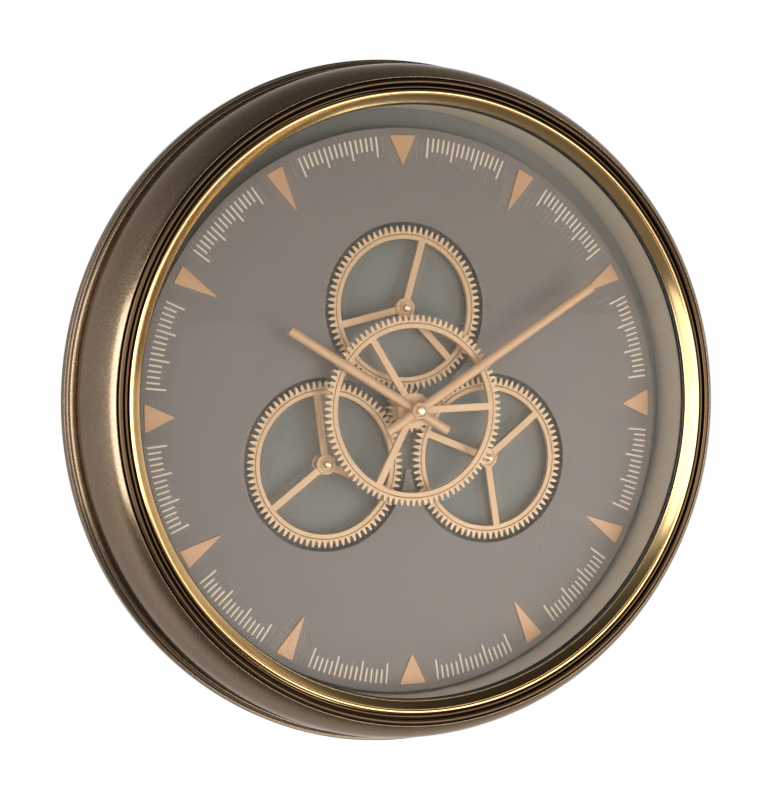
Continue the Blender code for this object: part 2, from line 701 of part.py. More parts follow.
def spoke_openings(rim_r, hub_r, first_spoke_deg, outer_pieces=6, inner_pieces=2):
    """The three openings between three parallel-sided spokes."""
    outer_half = math.degrees(math.asin(SPOKE_WIDTH / 2 / rim_r))
    inner_half = math.degrees(math.asin(SPOKE_WIDTH / 2 / hub_r))
    openings = []
    for k in range(3):
        start = first_spoke_deg + 120 * k
        outer_span = 120 - 2 * outer_half
        inner_span = 120 - 2 * inner_half
        outline = [
            clock_point(rim_r, start + outer_half + outer_span * i / outer_pieces)
            for i in range(outer_pieces + 1)
        ]
        outline += [
            clock_point(hub_r, start + 120 - inner_half - inner_span * i / inner_pieces)
            for i in range(inner_pieces + 1)
        ]
        openings.append(outline)
    return openings


def mesh_phase(direction_deg, driver_teeth, driver_phase, teeth):
    """The phase that puts a tooth of this gear in a gap of the driver, along their centre line.

    The driver sees this gear at direction_deg, and this gear sees the driver half a turn round.
    """
    from_tooth = (direction_deg - driver_phase) * driver_teeth / 360
    to_gap = (0.5 - from_tooth) % 1.0
    return direction_deg + 180 - to_gap * 360 / teeth


def dome(radius, rise, foot):
    """Points of a round cap, from its edge up to the axis."""
    edge = [
        (radius * math.cos(math.radians(a)), foot + rise * math.sin(math.radians(a)))
        for a in DOME_ANGLES
    ]
    return [*edge, (0.0, foot + rise)]


def make_outer_gears():
    """The three large gears round the centre, with their hubs, posts and clips."""
    spokes = {"upper": UPPER_SPOKE_DEG, "right": RIGHT_SPOKE_DEG, "left": LEFT_SPOKE_DEG}
    rim_r = OUTER_GEAR_TIP_R - TOOTH_HEIGHT - RIM_WIDTH
    bore = POST_R + GAP
    hub_top = OUTER_GEAR_FRONT + HUB_RISE
    hub = [
        (bore, OUTER_HUB_REAR),
        (HUB_R, OUTER_HUB_REAR),
        (HUB_R, hub_top),
        (HUB_R - HUB_RING_WIDTH, hub_top),
        (HUB_R - HUB_RING_WIDTH, HUB_FLOOR),
        (bore, HUB_FLOOR),
    ]
    clip_rear = HUB_FLOOR + GAP
    clip = [
        (bore, clip_rear),
        (CLIP_R, clip_rear),
        (CLIP_R, clip_rear + CLIP_THICKNESS),
        (bore, clip_rear + CLIP_THICKNESS),
    ]
    tip = dome(POST_R, POST_R, OUTER_GEAR_FRONT + POST_REACH - POST_R)
    foot_top = STANDOFF_REAR + POST_FOOT_HEIGHT
    fixed_post = [
        (0.0, STANDOFF_REAR),
        (POST_FOOT_R, STANDOFF_REAR),
        (POST_FOOT_R, foot_top),
        (POST_SHOULDER_R, foot_top),
        (POST_SHOULDER_R, SHOULDER_TOP),
        (POST_R, SHOULDER_TOP),
        *tip,
    ]
    arbor = [
        (0.0, HOUSING_FRONT - ARBOR_INSERT),
        (POST_R, HOUSING_FRONT - ARBOR_INSERT),
        (POST_R, STANDOFF_REAR),
        (POST_SHOULDER_R, STANDOFF_REAR),
        (POST_SHOULDER_R, SHOULDER_TOP),
        (POST_R, SHOULDER_TOP),
        *tip,
    ]
    for k, name in enumerate(OUTER_GEAR_NAMES):
        direction = 120 * k
        spot = clock_point(GEAR_CIRCLE_R, direction)
        phase = mesh_phase(direction, PINION_TEETH, PINION_PHASE_DEG, OUTER_TEETH)
        outlines = [gear_outline(OUTER_TEETH, OUTER_GEAR_TIP_R, phase)]
        outlines += spoke_openings(rim_r, HUB_R - HUB_RING_WIDTH / 2, spokes[name])
        outlines.append(circle(bore + HUB_RING_WIDTH / 2, HUB_STEPS))
        gear = plate(f"{name}_gear", outlines, OUTER_GEAR_REAR, GEAR_THICKNESS, GOLD, DIAL_AXIS, spot)
        join(gear, turned(f"{name}_hub_shape", hub, GOLD, DIAL_AXIS, (*spot, 0.0), HUB_STEPS))
        shaft = arbor if name == "upper" else fixed_post
        shaft_name = "upper_gear_arbor" if name == "upper" else f"{name}_gear_post"
        turned(shaft_name, shaft, BRASS, DIAL_AXIS, (*spot, 0.0), SMALL_STEPS)
        turned(f"{name}_gear_clip", clip, STEEL, DIAL_AXIS, (*spot, 0.0), SMALL_STEPS)


def make_centre_gears():
    """The pinion behind and the large gear in front, fixed to each other by the pinion's sleeve."""
    bore = BUSH_R + GAP
    teeth = gear_outline(PINION_TEETH, PINION_TIP_R, PINION_PHASE_DEG, PINION_ROOT_LAND)
    hole = circle((bore + SPIGOT_R) / 2, HUB_STEPS)
    pinion = plate("centre_pinion", [teeth, hole], PINION_REAR, PINION_THICKNESS, GOLD, DIAL_AXIS)
    sleeve = [
        (bore, PINION_REAR - HUB_BACK),
        (SLEEVE_R, PINION_REAR - HUB_BACK),
        (SLEEVE_R, SLEEVE_TOP),
        (SPIGOT_R, SLEEVE_TOP),
        (SPIGOT_R, CENTRE_GEAR_FRONT),
        (bore, CENTRE_GEAR_FRONT),
    ]
    join(pinion, turned("pinion_sleeve_shape", sleeve, GOLD, DIAL_AXIS, steps=HUB_STEPS))

    rim_r = CENTRE_GEAR_TIP_R - TOOTH_HEIGHT - CENTRE_RIM_WIDTH
    seat = SPIGOT_R + GAP
    outlines = [gear_outline(CENTRE_TEETH, CENTRE_GEAR_TIP_R, CENTRE_PHASE_DEG)]
    outlines += spoke_openings(rim_r, CENTRE_HUB_R - HUB_RING_WIDTH, CENTRE_SPOKE_DEG)
    outlines.append(circle((seat + CENTRE_HUB_RING_R) / 2, HUB_STEPS))
    gear = plate("centre_gear", outlines, CENTRE_GEAR_REAR, GEAR_THICKNESS, GOLD, DIAL_AXIS)
    ring_front = CENTRE_GEAR_FRONT + CENTRE_HUB_RING_RISE
    hub = [
        (seat, CENTRE_GEAR_REAR + HUB_BACK),
        (CENTRE_HUB_R, CENTRE_GEAR_REAR + HUB_BACK),
        (CENTRE_HUB_R, CENTRE_HUB_FRONT),
        (CENTRE_HUB_RING_R, CENTRE_HUB_FRONT),
        (CENTRE_HUB_RING_R, ring_front),
        (CENTRE_HUB_RING_R - HUB_RING_WIDTH, ring_front),
        (CENTRE_HUB_RING_R - HUB_RING_WIDTH, CENTRE_HUB_FRONT),
        (seat, CENTRE_HUB_FRONT),
    ]
    join(gear, turned("centre_hub_shape", hub, GOLD, DIAL_AXIS, steps=HUB_STEPS))


def tube(name, bore, radius, rear, front, finish):
    """A plain tube round the dial's centre."""
    profile = [(bore, rear), (radius, rear), (radius, front), (bore, front)]
    return turned(name, profile, finish, DIAL_AXIS, steps=SMALL_STEPS)


def make_centre_stack():
    """The fixed bush with its nut, washer and retainer, and the tube and shaft that turn in it."""
    nut_rear = DISC_FRONT + GAP
    nut_front = nut_rear + BUSH_NUT_THICKNESS
    washer_front = PINION_REAR - HUB_BACK - GAP
    tube("movement_bush", BUSH_BORE_R, BUSH_R, DISC_REAR, BUSH_TOP, BRASS)
    hexagon = circle(BUSH_NUT_R, 6)
    hole = circle(BUSH_R + GAP, HUB_STEPS)
    plate("bush_nut", [hexagon, hole], nut_rear, BUSH_NUT_THICKNESS, BRASS, DIAL_AXIS)
    tube("thrust_washer", BUSH_R + GAP, WASHER_R, nut_front + GAP, washer_front, STEEL)
    tube("gear_retainer", BUSH_R + GAP, RETAINER_R, RETAINER_REAR, BUSH_TOP, BRASS)
    inside = HOUSING_FRONT - SHAFT_INSERT
    hour_top = HOUR_HAND_REAR + HAND_THICKNESS
    tube("hour_tube", MINUTE_SHAFT_R + GAP, HOUR_TUBE_R, inside, hour_top, BRASS)
    shaft_top = HAND_NUT_REAR + HAND_NUT_BORE_DEPTH
    shaft = [(0.0, inside), (MINUTE_SHAFT_R, inside), (MINUTE_SHAFT_R, shaft_top), (0.0, shaft_top)]
    turned("minute_shaft", shaft, STEEL, DIAL_AXIS, steps=SMALL_STEPS)


def make_hand(name, rear, length, tail, degrees, bore):
    """A half-round bar with square ends, a round boss at its centre and a bore through that."""
    half = HAND_WIDTH / 2
    crown = HAND_THICKNESS - HAND_EDGE
    section = [(-half, 0.0), (half, 0.0)]
    section += [(x, HAND_EDGE + crown * y / half) for x, y in arc((0.0, 0.0), half, 0, 180, 6)]
    hand = plate(name, [section], 0.0, length + tail, HAND_GOLD, DIAL_AXIS)
    lie_down = Matrix(((1, 0, 0), (0, 0, 1), (0, 1, 0))).to_4x4()
    hand.data.transform(Matrix.Translation((0.0, (length - tail) / 2, rear)) @ lie_down)
    hand.data.flip_normals()
    place(hand, DIAL_AXIS, (0.0, 0.0, 0.0), degrees)
    top = rear + HAND_THICKNESS
    boss = [
        (0.0, rear),
        (HAND_BOSS_R, rear),
        (HAND_BOSS_R, top - HAND_BOSS_EDGE),
        (HAND_BOSS_R - HAND_BOSS_EDGE, top),
        (0.0, top),
    ]
    join(hand, turned(f"{name}_boss_shape", boss, HAND_GOLD, DIAL_AXIS, steps=HUB_STEPS))
    drill_foot = rear - HAND_THICKNESS
    drill_top = top + HAND_THICKNESS
    drill = [(0.0, drill_foot), (bore, drill_foot), (bore, drill_top), (0.0, drill_top)]
    cut(hand, turned(f"{name}_bore_cutter", drill, HAND_GOLD, DIAL_AXIS, steps=HUB_STEPS))


def make_hands():
    hour_bore = HOUR_TUBE_R + GAP
    bore = MINUTE_SHAFT_R + GAP
    make_hand("hour_hand", HOUR_HAND_REAR, HOUR_LENGTH, HOUR_TAIL, HOUR_HAND_DEG, hour_bore)
    make_hand("minute_hand", MINUTE_HAND_REAR, MINUTE_LENGTH, MINUTE_TAIL, MINUTE_HAND_DEG, bore)
    front = HAND_NUT_REAR + HAND_NUT_THICKNESS
    floor = HAND_NUT_REAR + HAND_NUT_BORE_DEPTH + GAP
    nut = [
        (0.0, floor),
        (bore, floor),
        (bore, HAND_NUT_REAR),
        (HAND_NUT_R, HAND_NUT_REAR),
        (HAND_NUT_R, front),
        *dome(NUT_DOME_R, NUT_DOME_RISE, front),
    ]
    turned("hand_nut", nut, BRASS, DIAL_AXIS, steps=HUB_STEPS)


def cell_bay(up, centre_up, name):
    """The cutter of an open bay for one cell, at this height in a housing."""
    long = CELL_LENGTH + CELL_TIP_LENGTH + 2 * CELL_CLEARANCE
    across = 2 * (CELL_R + CELL_CLEARANCE)
    spot = (0.0, centre_up + up, HOUSING_REAR)
    return box(name, (long, across, 2 * across), BLACK_PLASTIC, DIAL_AXIS, spot)


def make_cell(name, up):
    """A round cell lying across its housing, with its tip to the right."""
    body = [
        (0.0, -CELL_LENGTH / 2),
        (CELL_R, -CELL_LENGTH / 2),
        (CELL_R, CELL_LENGTH / 2),
        (CELL_TIP_R, CELL_LENGTH / 2),
        (CELL_TIP_R, CELL_LENGTH / 2 + CELL_TIP_LENGTH),
        (0.0, CELL_LENGTH / 2 + CELL_TIP_LENGTH),
    ]
    middle = HOUSING_REAR + CELL_CLEARANCE + CELL_R
    spot = (-CELL_TIP_LENGTH / 2, up, middle)
    cell = turned(name, body, CELL_GREEN, DIAL_AXIS, spot, SMALL_STEPS)
    cell.rotation_euler = (0.0, math.pi / 2, 0.0)


def make_movement():
    """The quartz movement behind the disc, with its cell and its setting knob."""
    middle = (HOUSING_REAR + HOUSING_FRONT) / 2
    deep = HOUSING_FRONT - SHAFT_INSERT - GAP
    beyond = HOUSING_FRONT + GAP
    socket_r = HOUR_TUBE_R + GAP
    outline = rounded_rectangle(MOVEMENT_SIDE, MOVEMENT_SIDE, HOUSING_CORNER_R)
    housing = plate("movement_case", [outline], HOUSING_REAR, CASE_DEPTH, BLACK_PLASTIC, DIAL_AXIS)
    cut(housing, cell_bay(MOVEMENT_CELL_UP, 0.0, "movement_bay_cutter"))
    socket = [(0.0, deep), (socket_r, deep), (socket_r, beyond), (0.0, beyond)]
    cut(housing, turned("shaft_socket_cutter", socket, BLACK_PLASTIC, DIAL_AXIS, steps=HUB_STEPS))
    floor = HOUSING_REAR + KNOB_THICKNESS + GAP
    outside = HOUSING_REAR - KNOB_THICKNESS
    spot = (KNOB_RIGHT, KNOB_UP, 0.0)
    recess_r = KNOB_R + KNOB_FINGER_ROOM
    recess = [
        (0.0, outside),
        (recess_r, outside),
        (recess_r, floor),
        (KNOB_POST_R + GAP, floor),
        (KNOB_POST_R + GAP, middle),
        (0.0, middle),
    ]
    cut(housing, turned("knob_recess_cutter", recess, BLACK_PLASTIC, DIAL_AXIS, spot, HUB_STEPS))
    knob = [
        (0.0, HOUSING_REAR),
        (KNOB_R, HOUSING_REAR),
        (KNOB_R, floor - GAP),
        (KNOB_POST_R, floor - GAP),
        (KNOB_POST_R, middle - GAP),
        (0.0, middle - GAP),
    ]
    turned("setting_knob", knob, WHITE_PLASTIC, DIAL_AXIS, spot, SMALL_STEPS)
    make_cell("movement_cell", MOVEMENT_CELL_UP)


def make_gear_drive():
    """The drive behind the upper gear, with two cells and a slide switch."""
    up = GEAR_CIRCLE_R
    outline = rounded_rectangle(DRIVE_WIDTH, DRIVE_TALL, HOUSING_CORNER_R)
    housing = plate(
        "gear_drive_case", [outline], HOUSING_REAR, CASE_DEPTH, BLACK_PLASTIC, DIAL_AXIS, (0.0, up)
    )
    cut(housing, cell_bay(DRIVE_CELL_UP, up, "drive_upper_bay_cutter"))
    cut(housing, cell_bay(-DRIVE_CELL_UP, up, "drive_lower_bay_cutter"))
    deep = HOUSING_FRONT - ARBOR_INSERT - GAP
    beyond = HOUSING_FRONT + GAP
    socket_r = POST_R + GAP
    socket = [(0.0, deep), (socket_r, deep), (socket_r, beyond), (0.0, beyond)]
    spot = (0.0, up, 0.0)
    cut(housing, turned("arbor_socket_cutter", socket, BLACK_PLASTIC, DIAL_AXIS, spot, HUB_STEPS))
    slot_long = SWITCH_WIDTH + SWITCH_TRAVEL + 2 * GAP
    slot_size = (slot_long, SWITCH_TALL + 2 * GAP, 2 * SWITCH_SLOT_DEPTH)
    slot_spot = (SWITCH_RIGHT + SWITCH_TRAVEL / 2, up, HOUSING_REAR)
    cut(housing, box("switch_slot_cutter", slot_size, BLACK_PLASTIC, DIAL_AXIS, slot_spot))
    switch_middle = HOUSING_REAR + SWITCH_SLOT_DEPTH - GAP - SWITCH_HEIGHT / 2
    box(
        "gear_switch", (SWITCH_WIDTH, SWITCH_TALL, SWITCH_HEIGHT), WHITE_PLASTIC, DIAL_AXIS,
        (SWITCH_RIGHT, up, switch_middle),
    )
    make_cell("drive_upper_cell", up + DRIVE_CELL_UP)
    make_cell("drive_lower_cell", up - DRIVE_CELL_UP)


def shade_round_pieces():
    """Smooth the round faces of the flat pieces, whose edges stay sharp."""
    for obj in PARTS.objects:
        if obj.type == "MESH" and len(obj.data.polygons):
            obj.data.shade_smooth()
            obj.data.set_sharp_from_angle(angle=SMOOTH_BELOW)


clear_scene()
PARTS = new_collection("gear_wall_clock")
CUTTERS = new_collection("cutters")
CASE_AXIS = new_empty("case_axis", None, (0.0, 0.0, -HANGER_HEIGHT), math.pi / 2)
DIAL_AXIS = new_empty("dial_axis", CASE_AXIS, (0.0, -DIAL_DROP, 0.0))
make_rear_ring()
make_hanger_plate()
make_case_shell()
make_bezel_ring()
make_glass_and_wall()
make_rear_disc()
make_dial()
make_hour_markers()
make_outer_gears()
make_centre_gears()
make_centre_stack()
make_hands()
make_movement()
make_gear_drive()
shade_round_pieces()
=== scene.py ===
"""The gear wall clock dressed for view: fine rings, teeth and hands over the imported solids.

Shapes are given in millimetres as (radius, distance from the wall), and every mesh is written in
metres with the wall plane at y = 0, the clock standing out of it towards -Y and +Z up. Angles
round the dial run clockwise from twelve, as someone in front of the clock sees them.
"""

import math

import bmesh
import bpy
import numpy as np
from mathutils import Matrix, Vector


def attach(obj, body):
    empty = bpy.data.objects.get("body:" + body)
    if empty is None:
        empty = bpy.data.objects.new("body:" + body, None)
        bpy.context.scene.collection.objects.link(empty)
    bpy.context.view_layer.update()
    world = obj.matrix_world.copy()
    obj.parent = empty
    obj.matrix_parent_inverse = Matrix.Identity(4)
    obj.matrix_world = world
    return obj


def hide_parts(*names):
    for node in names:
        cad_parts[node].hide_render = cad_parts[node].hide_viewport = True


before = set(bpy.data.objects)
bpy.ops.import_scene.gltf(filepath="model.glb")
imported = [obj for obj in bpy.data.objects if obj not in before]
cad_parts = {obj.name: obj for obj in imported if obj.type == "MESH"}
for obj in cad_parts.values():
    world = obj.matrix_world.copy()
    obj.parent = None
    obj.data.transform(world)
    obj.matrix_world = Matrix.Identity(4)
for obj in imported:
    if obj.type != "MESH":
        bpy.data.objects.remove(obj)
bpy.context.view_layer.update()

MM = 0.001
CASE = (0.0, -222.5)         # the case's axis, across and up
DIAL = (0.0, -228.5)         # the dial's axis, 6 mm lower
RING_STEPS = 360
SMALL_STEPS = 48
SHARP = math.radians(38)     # edges bent by more than this stay sharp
GAP = 0.3                    # left between two pieces that touch

# Distances from the wall
HOUSING_REAR, SHELL_REAR, SEAT_FRONT = 1.7, 13.3, 17.7
DISC_FRONT, DIAL_REAR, DIAL_FRONT, MARKER_REAR = 20.0, 27.5, 29.0, 29.3
OUTER_REAR, OUTER_FRONT = 25.4, 28.4
PINION_FRONT, CENTRE_REAR, CENTRE_FRONT = 31.4, 37.9, 40.9
HOUR_REAR, MINUTE_REAR = 43.8, 47.0
GLASS_REAR, GLASS_FRONT, FLANGE_REAR, FLANGE_FRONT = 56.0, 58.5, 58.8, 60.4
LIP_REAR, BODY_EDGE = 60.7, 65.0

# Case and bezel: radii, and (radius, distance) points
RING_BORE, RING_RADIUS, SEAT_RADIUS = 200.0, 232.0, 210.0
BODY_EDGE_RADIUS, BULGE = 214.1, 22.0
MOUTH_RADIUS, MOUTH_REAR = 213.9, 60.0   # beads and grooves lie inside and in front of these
MOUTH_SHADE = 0.42                       # the groove attribute on the beads: painted shade, which grows to 1 and near black in the grooves
GROOVE_DEEP = 2.0
HANGER_MIDDLE, HANGER_HALF_WIDE, HANGER_HALF_TALL = 216.5, 20.3, 12.3
BEZEL_BORE = 197.4
HOLLOW_START, HOLLOW_SIZE = (197.7, 60.5), (5.3, 4.6)
LAND_MIDDLE, LAND_HALF = (204.45, 64.55), (1.42, 1.62)
WALL_BORE, WALL_RADIUS, GLASS_RADIUS = 198.0, 199.6, 203.0

# Dial
DIAL_RADIUS, DIAL_BEVEL = 190.0, 0.25
DIAL_LOBE, DIAL_TIP = 57.96, 40.0        # the cut-out's lobes, and how near its points come
MARKER_OUTER, MARKER_THICKNESS = 185.0, 0.6
QUARTER_MARKER, HOUR_MARKER = (20.7, 19.4), (31.4, 13.0)     # length and width
TICKS_AN_HOUR, TICK_FIRST, TICK_APART = 16, 6.0, 1.2         # how many, and degrees
TICK_HALF, TICK_RISE, TICK_OUTER = 0.6, 0.06, 184.6
LONG_TICK_INNER, SHORT_TICK_INNER = 170.7, 175.2

# Gears: each rim's inner edge, the fine groove in its face, and the teeth's roots and tips
GEAR_CIRCLE = 68.8
OUTER_TEETH, PINION_TEETH, CENTRE_TEETH = 78, 20, 91
OUTER_INNER, OUTER_GROOVE, OUTER_ROOT, OUTER_TIP = 46.6, 49.8, 51.46, 55.65
PINION_INNER, PINION_ROOT, PINION_TIP = 5.0, 11.641, 15.341
CENTRE_INNER, CENTRE_GROOVE, CENTRE_ROOT, CENTRE_TIP = 55.2, 58.6, 60.4, 64.3
OUTER_GEARS = {
    "upper": (0.0, 180.0, 17.1),
    "right": (120.0, 298.4615, 52.3),
    "left": (240.0, 56.9231, 113.6),
}                            # direction from the centre, a tooth's angle, a spoke's angle
PINION_PHASE, CENTRE_PHASE, CENTRE_SPOKE = 9.0, 3.44, 88.7
GEAR_BACK = 25.0             # where the hubs' backs stand
POST_RADIUS, POST_FOOT_RADIUS, SHOULDER_RADIUS = 2.1, 7.0, 4.5
POST_FOOT_FRONT, POST_TIP_REAR, POST_TIP_RISE, ARBOR_REAR = 22.3, 33.8, 0.9, 12.7
POST_BORE, CLIP_RADIUS, CLIP_REAR, CLIP_FRONT = POST_RADIUS + GAP, 3.9, 29.1, 29.8
HUB_RADIUS, HUB_DISH_RADIUS, HUB_FRONT, HUB_DISH = 6.7, 5.1, 29.6, 28.8
BUSH_RADIUS, SLEEVE_RADIUS, SLEEVE_NECK_RADIUS = 4.0, 6.8, 5.5
OUTER_FLANK = [
    (0.0, 1.0), (0.075, 0.99), (0.115, 0.955), (0.14, 0.88), (0.185, 0.68), (0.235, 0.47),
    (0.285, 0.25), (0.325, 0.09), (0.36, 0.015), (0.40, 0.0),
]                            # share of a pitch from the tooth's middle, share of its height
PINION_FLANK = [
    (0.0, 1.0), (0.04, 0.985), (0.07, 0.94), (0.09, 0.87), (0.20, 0.46), (0.31, 0.05), (0.35, 0.0),
]

# Hands
HOUR_HAND_TURN, MINUTE_HAND_TURN = 301.6, 58.5
HOUR_HAND_LONG, MINUTE_HAND_LONG, HAND_TAIL = 105.0, 155.2, 27.0
HAND_WIDTH, HAND_THICKNESS, HAND_EDGE = 6.4, 2.7, 0.8
HAND_BORE, HAND_BOSS = 1.3, 4.8

# Works at the back
CELL_ACROSS, CELL_DISTANCE, CELL_RADIUS = -0.6, 9.4, 7.1
CELL_REAR_END, CELL_TIP_END = -24.75, 25.95
MOVEMENT_CELL_UP, DRIVE_CELL_UP = -17.5, 17.0
KNOB_PLACE, KNOB_RADIUS, KNOB_FLUTES = (14.0, 12.0), 6.0, 24
SMALLEST_ROUNDED = math.radians(40)      # of the edges of the housings, hanger and switch

# Floor, in metres
FLOOR_UP, FLOOR_HALF = -1.55, 14.0


def polar(radius, degrees):
    """Across and up: r sin a and r cos a, with a clockwise from twelve."""
    angle = np.radians(degrees)
    return radius * np.sin(angle), radius * np.cos(angle)


def arc(centre, radius, first, last, pieces):
    """Points centre + radius (cos a, sin a), with a going evenly from first to last, in degrees."""
    angle = np.radians(np.linspace(first, last, pieces + 1))
    return np.stack([centre[0] + radius * np.cos(angle), centre[1] + radius * np.sin(angle)], -1)


def softened(corners, radius, closed=True, pieces=3):
    """A polyline whose corners become parabolas, (1-s)^2 a + 2s(1-s) corner + s^2 b, where a and b
    lie on the corner's two edges at the radius from it, or nearer where an edge is short."""
    corners = np.asarray(corners, float)
    reach = np.broadcast_to(np.asarray(radius, float), len(corners)).copy()
    if not closed:
        reach[[0, -1]] = 0.0
    back = np.roll(corners, 1, 0) - corners
    ahead = np.roll(corners, -1, 0) - corners
    back_long = np.linalg.norm(back, axis=1)
    ahead_long = np.linalg.norm(ahead, axis=1)
    reach = np.minimum(reach, 0.45 * np.minimum(back_long, ahead_long))
    a = corners + back * (reach / np.maximum(back_long, 1e-9))[:, None]
    b = corners + ahead * (reach / np.maximum(ahead_long, 1e-9))[:, None]
    s = np.linspace(0.0, 1.0, pieces + 1)[None, :, None]
    points = (1 - s) ** 2 * a[:, None] + 2 * s * (1 - s) * corners[:, None] + s**2 * b[:, None]
    points = points.reshape(-1, 2)
    apart = np.linalg.norm(np.diff(points, axis=0), axis=1) > 1e-6
    return points[np.concatenate([[True], apart])]


def grid_faces(rows, columns, wrap_rows, wrap_columns, first=0):
    """Corner numbers of the four-sided faces between neighbouring rows and columns of a grid."""
    row, column = np.meshgrid(
        np.arange(rows if wrap_rows else rows - 1),
        np.arange(columns if wrap_columns else columns - 1),
        indexing="ij",
    )
    next_row, next_column = (row + 1) % rows, (column + 1) % columns
    corners = [row * columns + column, next_row * columns + column,
               next_row * columns + next_column, row * columns + next_column]
    return first + np.stack(corners, -1).reshape(-1, 4)


def piece(name, grids, body, finish, nodes=(), soft=True, wrap=(True, True)):
    """One piece of one or more grids of points in millimetres, shaped (rows, columns, 3), where
    wrap says whether the rows and the columns close on themselves."""
    points, faces, first = [], [], 0
    for grid in grids:
        rows, columns = grid.shape[:2]
        points.append(grid.reshape(-1, 3) * MM)
        faces.append(grid_faces(rows, columns, *wrap, first))
        first += rows * columns
    mesh = bpy.data.meshes.new(name)
    mesh.from_pydata(np.concatenate(points).tolist(), [], np.concatenate(faces).tolist())
    shape = bmesh.new()
    shape.from_mesh(mesh)
    bmesh.ops.remove_doubles(shape, verts=shape.verts, dist=2e-7)
    bmesh.ops.recalc_face_normals(shape, faces=shape.faces)
    shape.to_mesh(mesh)
    shape.free()
    return dressed(name, mesh, body, finish, nodes, soft)


def shade_evenly(obj):
    """Shading that follows the larger faces, up to the sharp edges."""
    shading = obj.modifiers.new("Even shading", "WEIGHTED_NORMAL")
    shading.keep_sharp = True


def dressed(name, mesh, body, finish, nodes=(), soft=True):
    """A mesh with its finish, riding on its body and standing for its solids."""
    obj = bpy.data.objects.new(name, mesh)
    bpy.context.scene.collection.objects.link(obj)
    mesh.materials.clear()
    mesh.materials.append(FINISHES[finish])
    if soft:
        mesh.shade_smooth()
        mesh.set_sharp_from_angle(angle=SHARP)
        shade_evenly(obj)
    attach(obj, body)
    if nodes:
        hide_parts(*nodes)
    return obj


def paint_node(node, finish):
    """The finish of a solid that stays as it is."""
    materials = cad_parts[node].data.materials
    materials.clear()
    materials.append(FINISHES[finish])


def points_of(obj):
    """Every point of a piece, in millimetres."""
    points = np.empty(len(obj.data.vertices) * 3)
    obj.data.vertices.foreach_get("co", points)
    return points.reshape(-1, 3) / MM


def carry(obj, name, values):
    """Writes one value for each point of a piece, for its finish to read."""
    obj.data.attributes.new(name, "FLOAT", "POINT").data.foreach_set("value", values)


def shaded(obj, name, shares, centre=CASE):
    """An attribute from 0 to 1, worked out from each point's radius from an axis and its distance
    from the wall, both in millimetres."""
    points = points_of(obj)
    radius = np.hypot(points[:, 0] - centre[0], points[:, 2] - centre[1])
    carry(obj, name, np.clip(shares(radius, -points[:, 1]), 0.0, 1.0))


def turned(profile, centre=DIAL, steps=SMALL_STEPS):
    """Each (r, d) of a profile turned round the axis: (x + r sin t, -d, z + r cos t)."""
    profile = np.asarray(profile, float)
    turn = np.linspace(0.0, 2 * np.pi, steps, endpoint=False)[:, None]
    radius, distance = profile[None, :, 0], profile[None, :, 1]
    across = centre[0] + radius * np.sin(turn)
    up = centre[1] + radius * np.cos(turn)
    return np.stack([across, np.broadcast_to(-distance, across.shape), up], -1)


def spun(name, profile, finish, nodes=()):
    """A ring of the case: a profile turned in fine steps round the case's axis."""
    return piece(name, [turned(profile, CASE, RING_STEPS)], "case", finish, nodes)


def ring_band(inner, outer, rear, front, edge=0.2):
    """The profile of a plain ring with its four corners softened."""
    return softened([(inner, rear), (outer, rear), (outer, front), (inner, front)], edge)


def ended(corners, radius):
    """A softened profile whose two ends stay where they are."""
    return softened(corners, radius, closed=False)


def toothed_edge(teeth, tip, root, flank, phase):
    """The radius of the toothed edge and its angle, r = root + (tip - root) f(s), where s is the
    share of a pitch from the tooth's middle and f is the flank's table, the same on both sides."""
    table = np.array(flank)
    s = np.concatenate([[-0.5], -table[:0:-1, 0], table[:, 0]])
    f = np.concatenate([[0.0], table[:0:-1, 1], table[:, 1]])
    angle = phase + 360.0 * (np.arange(teeth)[:, None] + s[None]) / teeth
    radius = root + (tip - root) * np.broadcast_to(f, angle.shape)
    return radius.ravel(), angle.ravel()


def following(columns, angle, centre=DIAL):
    """A ring of (radii, distance from the wall) columns, whose radii change with the angle."""
    across, up = polar(np.stack([radii for radii, _ in columns], -1), angle[:, None])
    distance = np.broadcast_to(np.array([d for _, d in columns]), across.shape)
    return np.stack([centre[0] + across, -distance, centre[1] + up], -1)


def toothed_ring(edge, inner, groove, rear, front, centre, bevel=0.22):
    """A flat ring whose outer radius follows the teeth, with a fine line turned in its front face
    at the groove's radius."""
    radius, angle = edge
    fixed = [(inner, rear), (inner, front - bevel), (inner + bevel, front)]
    if groove:
        fixed += [(groove - 0.45, front), (groove, front - 0.4), (groove + 0.45, front)]
    columns = [(np.full_like(radius, r), d) for r, d in fixed]
    columns += [
        (radius - bevel, front), (radius - 0.3 * bevel, front - 0.3 * bevel), (radius, front - bevel),
        (radius, rear + bevel), (radius - bevel, rear),
    ]
    return following(columns, angle, centre)


def shade_teeth(rim, centre, root, tip, front):
    """Attributes for a toothed rim: tooth is a painted highlight that grows from the root to the tip,
    line is painted shade that marks the groove.
    """
    def depth(r, w):
        """Painted shade: how far the front face is cut in beside the root."""
        face = (w > front - 0.5) * (r < root - 0.3) * (r > root - 3.0)
        return (front - w) / 0.3 * face

    shaded(rim, "tooth", lambda r, w: (r - root) / (0.6 * (tip - root)), centre)
    shaded(rim, "line", depth, centre)


def on_dial(aside, along, distance, centre, degrees):
    """Points given across and along a direction of the dial: centre + along a + aside b, where a
    points that way and b a quarter turn clockwise from it."""
    way, side = polar(1.0, degrees), polar(1.0, degrees + 90.0)
    across = centre[0] + side[0] * aside + way[0] * along
    up = centre[1] + side[1] * aside + way[1] * along
    return np.stack([across, -np.broadcast_to(distance, across.shape), up], -1)


